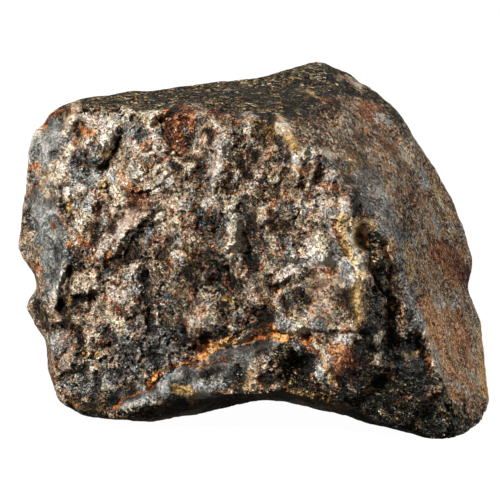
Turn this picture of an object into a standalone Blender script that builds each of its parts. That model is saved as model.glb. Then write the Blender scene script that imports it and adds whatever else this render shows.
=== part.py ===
"""A stony meteorite: one broken, weathered stone about 117 mm long, lying on its base.

The block is the hull of its corners, undercut below its front. Its edges are worn round, dents are pressed
into it where its outline is hollow, and lumps, ridges, ledges, pits and cracks are raised or sunk on the
broken face in front. Then it is thinned to few faces, because the grain is left to the surface finish.

What shows from the front is drawn on an upright sheet that stands through the middle of the stone and leans
back by VIEW_TILT, as an eye at EYE_DISTANCE sees it: across, up, and out towards the eye, all in millimetres.
"""

import math
import random

import bmesh
import bpy
import numpy as np
from mathutils import Vector, kdtree, noise

MM = 0.001

# The drawing sheet
VIEW_TILT = math.radians(12)
EYE_DISTANCE = 700.0
SHEET_MIDDLE = Vector((0.6, -6.0, 39.5))

# Corners seen from the front: across, up, out
TOP_BACK_EDGE = [
    (-52.6, 35.3, 0), (-43.5, 37.8, -5), (-30.0, 42.1, -9), (-1.5, 43.0, -20),
    (11.0, 45.3, -31), (17.5, 48.5, -36), (24.5, 46.7, -40), (32.5, 38.0, -35),
]
TOP_FRONT_EDGE = [(-44, 37, 8), (-26.5, 36, 16), (-8, 35, 22), (1.5, 33, 27), (12.5, 29.5, 31)]
LEFT_RIM = [
    (-56, 30.7, -2), (-59, 14, -5), (-60, 3.5, -5), (-58, -13, -4), (-53.5, -22, -4),
    (-51.5, -30, -4), (-48.5, -36.5, -2),
]
LEFT_FRONT_EDGE = [(-49, 26, 9), (-47, 8, 12), (-49, -12, 12), (-48.5, -25, 12)]
LOWER_FRONT_EDGE = [
    (-49.3, -37.3, 6), (-42.5, -40.3, 11), (-34.5, -41.3, 15), (-19, -39.5, 19), (3.5, -36, 25),
    (21, -37.7, 30), (32.3, -44.3, 26), (38, -47.4, 26), (43, -49.4, 25.5),
]
MAIN_RIDGE = [(24, 7, 35), (27.5, -12, 36), (26, -23, 35)]
RIGHT_BROW = [(15.5, 23, 32.5), (21, 18, 33.5), (24.5, 11, 35)]
RIGHT_FRONT_EDGE = [(33, 9.5, 29), (37, -1, 26.5), (40, -11, 24.5), (43.5, -23, 22.5), (45.5, -37, 21)]
RIGHT_RIM = [
    (38.5, 33, -33), (44.5, 23.5, -30), (49.5, 14, -28), (53.5, 2, -25), (55, -4, -23),
    (54.5, -13, -20), (56.5, -22, -14), (58.8, -34, -6), (58.8, -40.5, 0), (56.5, -45, 8), (52, -47.5, 22),
]

# Corners hidden from the front, and the corners of the base: x, y, z
BACK_CORNERS = [
    (-38, 26, 62), (-2, 44, 68), (32, 42, 60), (49, 33, 38), (-50, 18, 36), (-42, 16, 14),
    (-5, 46, 32), (26, 44, 24), (47, 28, 10), (-30, 30, 30),
]
BASE_CORNERS = [
    (-29, -20, 0), (-41, -11, 0), (-36, 11, 0), (-4, 30, 0), (32, 28, 0), (50, 2, 0), (48, -34, 0),
]

# The undercut below the front stands off the ground between two feet and the groin behind them: x, y, z
LEFT_FOOT = (-26, -24, 0)
GROIN = (5.5, 0, 0)
RIGHT_FOOT = (31.5, -31, 0)
RIGHT_TOE = (43, -38, 0)
UNDERCUT_LEFT = [LEFT_FOOT, GROIN, (-32, -60, 16), (9, -60, 18.5)]
UNDERCUT_RIGHT = [GROIN, RIGHT_FOOT, RIGHT_TOE, (4, -60, 21), (34, -60, 10.5), (50, -60, 1)]
UNDERCUT_FLOOR = -20.0

# Dents where the outline is hollow: place (x, y, z), radii, push, all in millimetres
DENTS = [
    ((-22, 6, 78), (9, 26, 12), (0, 0, -2.6)),
    ((-9, 14, 80), (15, 26, 14), (0, 0, -2.2)),
    ((6, 20, 82), (17, 26, 14), (0, 0, -2.9)),
    ((-56, 2, 70), (7, 12, 6), (1.0, 0, -0.3)),
    ((-56, -2, 32), (9, 12, 8), (4.3, 0, 0)),
    ((-52, -4, 17), (9, 14, 10), (3.6, 0, 0)),
    ((57, 12, 26), (8, 16, 7), (-2.1, 0, 0)),
]

# The broken face, drawn on the sheet. Lumps and hollows: across, up, radius across, radius up, height.
LUMPS = [
    (-39.5, 27.5, 6, 7, 1.6),
    (-37, 1, 5.5, 5, 1.4),
    (-42, -7, 5, 4, 1.1),
    (-33, -11.5, 5.5, 5, 1.3),
    (-38, -17.5, 6, 6, 1.3),
    (-13, -15, 6, 6, 1.2),
    (9, -18, 5.5, 4, 1.4),
    (16, 13, 5, 5.5, 1.4),
    (17, 0.5, 3.5, 4.5, 1.3),
    (22, 10, 4, 5, 1.6),
    (29, -22, 3, 3, 1.3),
    (30.5, -27, 3, 3, 1.3),
]
HOLLOWS = [
    (-20, 31, 7, 6, -2.0),
    (-30, 14, 4, 4.5, -1.1),
    (-10.5, 7, 5, 6, -1.8),
    (-17, -5, 3.0, 4.2, -1.6),
    (-1.5, 7, 3.5, 7, -2.0),
    (2.5, 30, 5, 5, -2.2),
    (16.5, 20, 3, 5, -1.5),
    (1, -16.5, 5, 5.5, -2.0),
    (-10, -20, 5, 3, -1.4),
    (11, -29, 7, 7, -2.4),
    (28, 4, 4.2, 4, -2.8),
    (31.5, -9.5, 7.5, 13, -3.4),
    (33.5, -24.5, 8, 8, -1.8),
]
# Ridges, valleys and cracks: the points along it, half its width, height
RIDGES = [
    ([(-11, 29), (-10, 23), (-10.5, 17), (-11, 12)], 4, 1.8),
    ([(5.5, 33), (8, 30), (10, 25.5), (11, 22), (12, 19)], 3.5, 2.0),
    ([(-6, 10), (-6, 6), (-6.5, 3), (-7.5, 0.5)], 3, 1.8),
    ([(23, 13), (22.5, 9), (23.5, 4), (25, -1), (25.5, -7), (25.5, -12), (26, -18)], 4, 2.0),
    ([(16.5, -23), (17, -27.5), (19, -32.5), (21, -37)], 2.5, 1.6),
    ([(-30, -37.5), (-19, -33), (-9, -29.5), (1, -26), (7, -24.5)], 5, 1.8),
    ([(33, 3), (34.7, -2.5), (34, -7), (35.2, -11.5), (40, -16)], 2.5, 1.2),
]
VALLEYS = [
    ([(-4, 29), (-4.5, 23), (-5, 18), (-4, 13), (-3, 7), (-0.5, 0.5)], 3.5, -2.2),
    ([(-16, 26), (-12.5, 23), (-13, 17), (-14, 13.5)], 2.5, -1.2),
    ([(-28, -4.5), (-27.5, -9.5), (-27, -16), (-26, -22)], 3, -1.4),
    ([(-41, 7), (-41, 3), (-43.5, -1.5)], 2.5, -1.5),
    ([(19.5, 3), (20.5, -2.5), (20.5, -9.5), (23, -13), (23.5, -17)], 2.2, -1.3),
    ([(-33.5, 30), (-34.5, 27), (-36, 24), (-38.5, 20.5), (-42, 21.5)], 1.6, -1.8),
    ([(-46, -4), (-47.5, -8), (-48.5, -11), (-49, -14), (-48, -17.5)], 1.8, -2.0),
    ([(-48.5, -13.5), (-45, -12), (-40.5, -11)], 1.8, -1.4),
]
# Ledges: the points along the brow, its height, the width above it and the width below
LEDGES = [
    ([(-26, 7), (-29, 5.5), (-32, 3), (-33.5, 1)], 1.8, 6, 4),
    ([(18, -2.5), (14, -3), (11, -4), (8, -7), (4, -8)], 2.0, 6, 4),
    ([(15, -20), (21, -20), (26.5, -20)], 1.6, 5, 3),
    ([(1, 6), (6, 7), (10, 8.5)], 1.4, 5, 3),
]
CRACK = [
    (-36, -39), (-30, -35), (-26.5, -34), (-22.5, -30), (-17.5, -27.5), (-14, -26), (-8, -23.5),
    (-3, -22), (1.5, -21.2), (7, -20.8), (13, -22), (17, -23.5),
]
CRACK_HALF_WIDTH = 1.6
CRACK_DEPTH = 1.8

VOXEL = 1.1
WEAR_PASSES = 10
CHIP_WEAR_PASSES = 2
FACET_SIZE = 9.0
FACET_TILT = 0.15
FACET_STEP = 0.4
FACET_SEED = 11
DIMPLE_SIZE = 15.0
DIMPLE_DEPTH = 1.3
DIMPLE_SEED = 5
# How much of a lump's radius, and of a line's half width, is slope
LUMP_SLOPE = 0.7
LINE_SLOPE = 0.8
# How squarely a face must look at the eye before it is drawn on or chipped, and over how much more this grows
DRAWN_FROM = 0.2
CHIPPED_FROM = 0.35
FACING_STEP = 0.3
# Noise that sways the drawn lines and the chips, and that swells the skin: size, depth
DRAWN_SWAY = (5.0, 1.2)
FACET_SWAY = (6.0, 2.5)
WIDE_SWELL = (14.0, 1.0)
NARROW_SWELL = (6.0, 0.5)
TRIANGLES = 9400
BASE_CUT = 0.4
SECOND_BASE_CUT = 0.15


def seen(across, up, out):
    """The point that the eye sees at this place on the sheet, this far out from it, in millimetres."""
    scale = (EYE_DISTANCE - out) / EYE_DISTANCE
    x, b, c = across * scale, up * scale, out
    sin, cos = math.sin(VIEW_TILT), math.cos(VIEW_TILT)
    return SHEET_MIDDLE + Vector((x, b * sin - c * cos, b * cos + c * sin))


OUTWARD = np.array((0.0, -math.cos(VIEW_TILT), math.sin(VIEW_TILT)))
UPWARD = np.array((0.0, math.sin(VIEW_TILT), math.cos(VIEW_TILT)))


def on_sheet(points):
    """Where the eye sees these points on the sheet: an array of across and up."""
    offset = points - np.array(SHEET_MIDDLE)
    scale = EYE_DISTANCE / (EYE_DISTANCE - offset @ OUTWARD)
    return np.stack((offset[:, 0] * scale, (offset @ UPWARD) * scale), axis=1)


def ease(x):
    """From 0 to 1 as x goes from 0 to 1, level at both ends."""
    x = np.clip(x, 0.0, 1.0)
    return x * x * (3.0 - 2.0 * x)


def hull(name, points):
    """A new object that is the convex hull of these points, given in millimetres."""
    mesh = bpy.data.meshes.new(name)
    form = bmesh.new()
    for point in points:
        form.verts.new(Vector(point) * MM)
    made = bmesh.ops.convex_hull(form, input=form.verts)
    left_over = made["geom_interior"] + made["geom_unused"]
    spare = {part for part in left_over if isinstance(part, bmesh.types.BMVert)}
    bmesh.ops.delete(form, geom=list(spare), context="VERTS")
    bmesh.ops.recalc_face_normals(form, faces=form.faces)
    form.to_mesh(mesh)
    form.free()
    obj = bpy.data.objects.new(name, mesh)
    bpy.context.scene.collection.objects.link(obj)
    return obj


def apply_modifiers(obj):
    """Makes the mesh what its modifiers show, and removes them."""
    graph = bpy.context.evaluated_depsgraph_get()
    shown = bpy.data.meshes.new_from_object(obj.evaluated_get(graph))
    obj.modifiers.clear()
    obj.data = shown


def block():
    """The stone as a block with flat faces and sharp edges."""
    edges = (
        TOP_BACK_EDGE, TOP_FRONT_EDGE, LEFT_RIM, LEFT_FRONT_EDGE, LOWER_FRONT_EDGE,
        MAIN_RIDGE, RIGHT_BROW, RIGHT_FRONT_EDGE, RIGHT_RIM,
    )
    corners = [seen(*corner) for edge in edges for corner in edge]
    return hull("meteorite", corners + [Vector(c) for c in BACK_CORNERS + BASE_CORNERS])


def undercut(obj):
    """Cuts the stone back below its front, where it stands off the ground."""
    for name, ceiling in (("undercut_left", UNDERCUT_LEFT), ("undercut_right", UNDERCUT_RIGHT)):
        cutter = hull(name, ceiling + [(x, y, UNDERCUT_FLOOR) for x, y, _ in ceiling])
        cut = obj.modifiers.new(name, "BOOLEAN")
        cut.operation = "DIFFERENCE"
        cut.object = cutter
        apply_modifiers(obj)
        bpy.data.objects.remove(cutter)


def even_net(obj):
    """Covers the block with an even net of small faces."""
    remesh = obj.modifiers.new("even_net", "REMESH")
    remesh.mode = "VOXEL"
    remesh.voxel_size = VOXEL * MM
    apply_modifiers(obj)


def wear(obj, passes):
    """Rounds the edges of the skin."""
    smooth = obj.modifiers.new("wear", "SMOOTH")
    smooth.iterations = passes
    smooth.factor = 0.5
    apply_modifiers(obj)


def points_and_normals(mesh):
    """The mesh's points in millimetres and their normals, as arrays."""
    points = np.empty(len(mesh.vertices) * 3)
    mesh.vertices.foreach_get("co", points)
    normals = np.empty(len(mesh.vertices) * 3)
    mesh.vertices.foreach_get("normal", normals)
    return points.reshape(-1, 3) / MM, normals.reshape(-1, 3)


def set_points(mesh, points):
    mesh.vertices.foreach_set("co", (points * MM).ravel())
    mesh.update()


def dented(points):
    """The points, pushed in where the outline is hollow."""
    for place, radii, push in DENTS:
        distance = np.linalg.norm((points - place) / np.array(radii), axis=1)
        points = points + ease(1.0 - distance)[:, None] * np.array(push)
    return points


def along(line, spots):
    """How far each spot on the sheet is from a line, and how far it lies to the left of the line's way."""
    nearest = np.full(len(spots), np.inf)
    side = np.zeros(len(spots))
    for start, end in zip(line, line[1:]):
        start, way = np.array(start), np.array(end) - np.array(start)
        length = np.linalg.norm(way)
        part = np.clip((spots - start) @ way / length ** 2, 0.0, 1.0)
        offset = spots - (start + part[:, None] * way)
        distance = np.linalg.norm(offset, axis=1)
        closer = distance < nearest
        nearest = np.where(closer, distance, nearest)
        side = np.where(closer, (way[0] * offset[:, 1] - way[1] * offset[:, 0]) / length, side)
    return nearest, side


def drawn_relief(spots):
    """The height that the drawn features give the broken face at each spot on the sheet."""
    height = np.zeros(len(spots))
    for across, up, radius_across, radius_up, rise in LUMPS + HOLLOWS:
        distance = np.hypot((spots[:, 0] - across) / radius_across, (spots[:, 1] - up) / radius_up)
        height += rise * ease((1.0 - distance) / LUMP_SLOPE)
    for line, half_width, rise in RIDGES + VALLEYS + [(CRACK, CRACK_HALF_WIDTH, -CRACK_DEPTH)]:
        distance, _ = along(line, spots)
        height += rise * ease((1.0 - distance / half_width) / LINE_SLOPE)
    for line, rise, above, below in LEDGES:
        distance, side = along(line, spots)
        is_above = side * np.sign(line[0][0] - line[-1][0]) < 0
        raised = ease(1.0 - distance / above)
        sunk = -ease(1.0 - distance / below)
        height += rise * np.where(is_above, raised, sunk) / 2.0
    return height


def wavering(points, size_and_depth, layer):
    """Smooth noise for each point, one number per point. Each layer has a noise of its own."""
    size, depth = size_and_depth
    shift = Vector((layer * 31.7, layer * 11.3, layer * 5.9))
    return np.array([noise.noise(Vector(p) / size + shift) for p in points]) * depth


def scattered(points, spacing, chance):
    """Centres strewn through the box round the points, about this far apart, as a tree to search."""
    low, high = points.min(axis=0), points.max(axis=0)
    count = int(np.prod((high - low) / spacing))
    tree = kdtree.KDTree(count)
    for i in range(count):
        tree.insert([chance.uniform(low[k], high[k]) for k in range(3)], i)
    tree.balance()
    return tree, count


def facets(points):
    """The height of flat chips of random tilt, each the ground nearest to its own centre."""
    chance = random.Random(FACET_SEED)
    tree, count = scattered(points, FACET_SIZE, chance)
    tilts = [[chance.gauss(0, FACET_TILT) for _ in range(3)] for _ in range(count)]
    steps = [chance.gauss(0, FACET_STEP) for _ in range(count)]
    bent = points + np.stack([wavering(points, FACET_SWAY, layer) for layer in (1, 2, 3)], axis=1)
    height = np.empty(len(points))
    for i, point in enumerate(bent):
        centre, chip, _ = tree.find(point)
        height[i] = np.dot(tilts[chip], point - np.array(centre)) + steps[chip]
    return height


def dimples(points):
    """The depth of shallow thumb marks, round or run together, that flight melts into a stone."""
    tree, _ = scattered(points, DIMPLE_SIZE, random.Random(DIMPLE_SEED))
    distance = np.array([tree.find(point)[2] for point in points])
    return -DIMPLE_DEPTH * ease(1.0 - distance / (LUMP_SLOPE * DIMPLE_SIZE))


def broken(points, normals):
    """Raises and sinks the skin: the drawn features and chips in front, thumb marks on the worn sides."""
    spots = on_sheet(points)
    spots = spots + np.stack([wavering(points, DRAWN_SWAY, layer) for layer in (7, 8)], axis=1)
    facing = normals @ OUTWARD
    drawn = ease((facing - DRAWN_FROM) / FACING_STEP)
    points = points + (drawn * drawn_relief(spots))[:, None] * OUTWARD
    chipped = ease((facing - CHIPPED_FROM) / FACING_STEP)
    height = chipped * facets(points) + (1.0 - chipped) * dimples(points)
    height += wavering(points, WIDE_SWELL, 4) + wavering(points, NARROW_SWELL, 5)
    return points + height[:, None] * normals


def rest_flat(mesh, level):
    """Cuts off what lies below this level, and sets the stone on the ground with its box in the middle."""
    points, _ = points_and_normals(mesh)
    points[:, 2] = np.maximum(points[:, 2] - level, 0.0)
    points[:, :2] -= (points.min(axis=0)[:2] + points.max(axis=0)[:2]) / 2.0
    set_points(mesh, points)


def thin(obj):
    """Keeps only as many triangles as the forms need."""
    obj.data.calc_loop_triangles()
    fewer = obj.modifiers.new("fewer_faces", "DECIMATE")
    fewer.ratio = TRIANGLES / len(obj.data.loop_triangles)
    fewer.use_collapse_triangulate = True
    apply_modifiers(obj)


def stone_material():
    material = bpy.data.materials.new("stone")
    material.use_nodes = True
    surface = material.node_tree.nodes["Principled BSDF"]
    surface.inputs["Base Color"].default_value = (0.115, 0.085, 0.065, 1.0)
    surface.inputs["Roughness"].default_value = 0.7
    surface.inputs["Metallic"].default_value = 0.0
    return material


def main():
    for obj in list(bpy.data.objects):
        bpy.data.objects.remove(obj)
    stone = block()
    undercut(stone)
    even_net(stone)
    wear(stone, WEAR_PASSES)
    points, normals = points_and_normals(stone.data)
    set_points(stone.data, broken(dented(points), normals))
    wear(stone, CHIP_WEAR_PASSES)
    rest_flat(stone.data, BASE_CUT)
    thin(stone)
    rest_flat(stone.data, SECOND_BASE_CUT)
    stone.data.materials.append(stone_material())


main()
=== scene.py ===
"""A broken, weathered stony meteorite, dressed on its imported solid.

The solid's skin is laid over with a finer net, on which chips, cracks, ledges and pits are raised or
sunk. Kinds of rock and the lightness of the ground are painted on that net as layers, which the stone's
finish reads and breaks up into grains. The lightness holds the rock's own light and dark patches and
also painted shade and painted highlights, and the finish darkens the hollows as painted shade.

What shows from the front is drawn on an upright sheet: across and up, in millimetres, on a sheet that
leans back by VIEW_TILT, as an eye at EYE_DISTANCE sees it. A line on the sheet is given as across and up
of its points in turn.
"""

import math

import bpy
import numpy as np
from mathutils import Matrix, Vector


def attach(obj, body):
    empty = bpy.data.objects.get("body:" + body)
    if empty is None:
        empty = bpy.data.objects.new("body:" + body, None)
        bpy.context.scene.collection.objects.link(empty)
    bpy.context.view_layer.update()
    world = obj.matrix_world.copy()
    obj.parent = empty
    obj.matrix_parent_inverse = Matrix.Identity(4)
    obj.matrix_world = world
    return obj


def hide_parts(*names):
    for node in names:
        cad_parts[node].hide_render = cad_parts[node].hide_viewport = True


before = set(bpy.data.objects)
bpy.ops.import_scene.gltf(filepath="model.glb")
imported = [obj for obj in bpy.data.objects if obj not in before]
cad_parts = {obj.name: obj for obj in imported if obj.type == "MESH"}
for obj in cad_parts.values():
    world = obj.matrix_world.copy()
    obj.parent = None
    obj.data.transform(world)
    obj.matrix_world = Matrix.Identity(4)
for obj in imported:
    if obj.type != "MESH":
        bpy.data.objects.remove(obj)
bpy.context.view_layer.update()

MM = 0.001
VIEW_TILT = math.radians(12)
EYE_DISTANCE = 700.0
SHEET_WIDTH = 125.0
SHEET_MIDDLE = np.array((0.6, -6.0, 39.5))
OUTWARD = np.array((0.0, -math.cos(VIEW_TILT), math.sin(VIEW_TILT)))
UPWARD = np.array((0.0, math.sin(VIEW_TILT), math.cos(VIEW_TILT)))
# How far the sheet's middle lies beside the photograph's, as a share of its width
CAMERA_SHIFT = (-6 / 500, 2 / 500)
FLOOR_WIDTH = 3.0
# Lamps: name, degrees round from the front to the right, degrees up, distance and size in metres, power
LAMPS = (("key", -52, 38, 0.9, 0.14, 15.0), ("side", 112, 30, 0.8, 0.30, 5.5),
         ("fill", 12, 4, 1.2, 0.2, 0.85))

# The fine net: the width of its faces, how often it is smoothed, and how many triangles are kept
NET = 0.48
NET_WEAR_PASSES = 4
SKIN_TRIANGLES = 190000
SHARP_EDGE = math.radians(38)
# The share of the solid's own narrow corners and gaps that is rounded off before the relief goes on
HOLLOW_FILL = 0.85
NARROW_PASSES, WIDE_PASSES = 4, 40

# Chips of the broken face: size, tilt, step from one to the next, size and reach of the bends in their
# borders, seed of the bends, seed of the chips
CHIPS = ((4.5, 0.19, 0.13, 3.0, 1.1, 201, 11), (2.1, 0.20, 0.08, 1.5, 0.5, 301, 12),
         (1.15, 0.20, 0.06, 1.0, 0.3, 351, 13))
PEBBLES = (2.6, 0.3, 0.35, 1.5, 0.5, 361, 14)

# How much of the heights in the next three tables shows
RIDGE_SHARE, VALLEY_SHARE, LUMP_SHARE, PIT_SHARE = 0.7, 0.5, 0.6, 0.4
# Valleys and cracks: half width, depth, line
VALLEYS = [
    (0.6, 0.9, -33.2, 30.2, -34.2, 27.2, -35.8, 24.2, -37.5, 21.5, -39, 20.2),
    (0.5, 0.9, -36, 30.5, -34.5, 29.8, -33.2, 30.2), (1.1, 0.8, -44, 22.2, -41.5, 21.5, -39, 21.2),
    (0.5, 0.4, -45, 35, -44.5, 31.8, -44, 28, -43, 26), (1, 1.6, -25, 32.2, -22.5, 34, -20, 35.8),
    (0.8, 0.6, -22, 28, -21, 25.5), (0.8, 0.5, -29.5, 29.8, -29, 28), (0.5, 1, -48.5, 13, -48.5, 9.8),
    (0.45, 0.5, -36.5, 14.8, -35.8, 12.8, -36, 11.5), (0.7, 0.7, -39, 11.2, -40.8, 8, -42, 5.5),
    (0.9, 0.8, -41, 6, -42.8, 3, -44, -0.8), (0.7, 0.9, -27.5, 7.2, -31.8, 4.2, -33.5, 1),
    (0.4, 0.5, -52.8, 5, -51.5, 6), (0.7, 0.7, -17, 23, -14.5, 23.5, -12.2, 25),
    (0.6, 0.4, -4.8, 25, -6, 21.8, -6.5, 18.5), (0.6, 0.4, -3.2, 21.8, -2.5, 18.5),
    (0.6, 0.6, -13.2, 16.8, -13.8, 13.5), (0.8, 0.8, 0.2, 30.5, 1.5, 32),
    (0.5, 0.6, 7.8, 27.5, 8.2, 25, 9, 22.2), (0.6, 0.5, 12.2, 23, 13.5, 21), (0.7, 0.8, 15.8, 21, 15, 18.5),
    (0.5, 0.4, 12.2, 14.8, 13, 13.5), (0.6, 0.6, -4, 11.8, -2.2, 12.8, -0.2, 12.2),
    (0.6, 0.7, 1.5, 6, 4, 6.8, 6.8, 7.5), (0.6, 0.5, 3.5, -8.2, 6, -8.8, 7.5, -8.5),
    (0.7, 0.6, 20.2, -2.5, 20, -8.2, 22.2, -12, 23.5, -15.8), (0.45, 0.4, 13, -12, 12.8, -17, 12.5, -19.5),
    (0.8, 0.6, -9, -13.2, -8.5, -17), (0.45, 1.1, -37.5, 0, -37.8, -2, -37.5, -3.8),
    (1, 1.8, -46.2, -4.5, -47.2, -7.5, -48, -9.5, -48.8, -12, -49, -14),
    (0.9, 1.2, -51, -14.8, -49, -14.8, -47.5, -16.5, -48, -18.2),
    (1, 1.4, -48.5, -13.5, -46, -12, -43.2, -11.2, -40.2, -10.8),
    (0.6, 0.8, -44, -19, -43.8, -22, -44.2, -25, -45, -28.2),
    (0.4, 0.5, -46.5, -21.5, -47.2, -24.5, -49.5, -27), (1, 0.9, -28.5, -4.5, -27.5, -8.2, -27.2, -12),
    (1, 1, -26.5, -14.5, -25.8, -19.5), (0.6, 0.7, -26.5, -24.5, -24, -23.8, -22, -25),
]
# Ridges: half width, height, line
RIDGES = [
    (0.6, 0.7, -21.5, 23, -19, 22.2, -16.5, 20.8), (0.6, 0.7, -16.5, 20.8, -14.2, 22.2),
    (0.6, 0.5, -16.5, 20.8, -16.2, 19.2), (1.1, 0.9, 4.8, 33.5, 6.8, 31.5, 8.5, 29),
    (0.9, 0.8, 9, 27.5, 9.8, 25, 10.5, 22.5), (0.5, 0.7, 15, 22.2, 13.8, 18.5, 12.5, 15.5, 11, 12.2),
    (1.5, 0.4, -6.2, 9.5, -5.8, 4.2, -6.2, 1), (0.7, 0.4, 10.5, -14, 10.2, -16),
    (0.6, 0.8, 16.8, -24.5, 17.5, -27.5, 19.2, -32, 21, -34),
    (1.1, 0.6, 24, 1.8, 25.5, -2.5, 26.5, -5.8, 25.5, -9.5, 25.2, -13.2, 26.5, -16.5),
    (0.6, 0.5, 33.8, 1.8, 34.2, -1.2), (0.7, 0.8, 33.5, -9, 35.5, -11.2, 37.5, -13.2, 39.2, -14),
    (0.35, 0.4, 46, -9.5, 46.8, -12.8), (0.4, 0.4, -38.2, -32, -36, -33.5),
]
# Lumps, and pits where the height is below zero: across, up, radius across, radius up, height
LUMPS = [
    (-41.5, 28.8, 1.8, 2.6, 0.6), (-38.2, 28.5, 1.7, 1.4, 0.5), (-35.8, 33.8, 1.5, 1.2, 0.5),
    (-34, 14.8, 2, 2.5, 0.5), (-14, 25.5, 1.8, 2.4, 0.6), (-8.5, 20.5, 2.2, 2.5, 0.6),
    (-9, 25.5, 1.8, 2.2, 0.5), (0.5, 19, 2.2, 2, 0.6), (18.8, 24.8, 2.2, 1.4, 0.3),
    (15.5, 14.2, 2.5, 2.2, 0.5), (15.2, 10.8, 2, 1.5, 0.5), (-11.5, 12.2, 2.2, 1.2, 0.7),
    (1.8, 10, 1.8, 2, 0.5), (10.5, -9, 2, 1.8, 0.4), (5.8, -11.5, 1.2, 1.5, 0.4),
    (9.8, -18.2, 2.2, 2.2, 0.5), (14.2, -15.8, 1.8, 2.5, 0.4), (-15.8, -17.5, 1.7, 2.5, 0.6),
    (-12, -13.2, 2.6, 2.4, 0.4), (23.5, -21.5, 3, 1.2, 0.5), (-1, -30, 2.2, 2.8, 0.4),
    (15, -30, 2, 2.5, 0.5), (5.5, -33.8, 1.5, 1.2, 0.5), (19, -27.5, 1.2, 1.8, 0.5),
    (-12.2, -33.5, 5, 2.2, 0.6), (-46, -11.2, 0.9, 1.4, 0.8), (-50.5, -11.5, 1.2, 2, 0.7),
    (-40.8, -20.8, 1.7, 1.4, 0.5), (-38.5, -21, 0.9, 0.9, 0.6), (-25.2, -26.2, 2.2, 1.7, 0.6),
    (-22.8, -28.2, 1.5, 2, 0.6), (30.8, -22, 1.7, 1.7, 0.7), (30.8, -26.5, 1.4, 1.7, 0.7),
    (37, -20.8, 1.7, 1.4, 0.6), (37.8, -26.2, 2.4, 1.2, 0.5), (23.5, -7, 1.7, 2.2, 0.4),
    (32.2, -15, 1.5, 1, 0.6), (27.2, -16.5, 1.2, 1.2, 0.5), (-16.5, 27.5, 1.2, 1.7, -1),
    (-11.8, 30, 0.9, 1.2, -0.8), (3, 32.8, 1.5, 1.3, -1.3), (13.8, 21.2, 0.8, 0.9, -0.9),
    (-2.8, 9.2, 1.7, 2.8, -0.5), (-1, 8.8, 0.9, 1.2, -0.6), (4.8, 14.2, 1.2, 1.7, -0.7),
    (8, -8, 0.8, 1.2, -0.9), (1.5, -13.2, 2.2, 2.2, -0.8), (2.2, -17, 1.7, 1.7, -0.6),
    (7.2, -13.2, 1.7, 1.4, -0.8), (12.5, -21.2, 1.7, 1.2, -0.5), (-4.5, -33.2, 1.7, 2.2, -0.8),
    (3.5, -33.2, 1.4, 1.7, -0.8), (11, -28.2, 3.5, 3, -0.6), (-19.5, -35.2, 2, 1.7, -0.8),
    (-47, -30.8, 1.2, 1.7, -0.6), (-25.2, -31.5, 1.4, 2, -0.9), (42.2, -11.2, 1, 0.9, -0.8),
    (27.5, 29.8, 0.7, 0.8, -0.5), (-19.5, 20, 1.7, 1.7, -0.6), (-14.8, 20, 1.2, 1.4, -0.7),
    (-30, 3.5, 2.2, 1.7, -0.7), (-30.2, 13, 2, 2.4, -0.8), (-16.8, -5.2, 1.6, 2.8, -1),
    (-10, 5.5, 1.8, 4, -0.9), (-3.6, 3.4, 3, 4.2, 2.6), (-29.3, -4.8, 1.8, 2.6, 1.6), (8.5, -30, 3, 3, 1),
    (31, -4.5, 2, 6, 3), (29, 5, 2.8, 3.2, 4),
]
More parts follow.
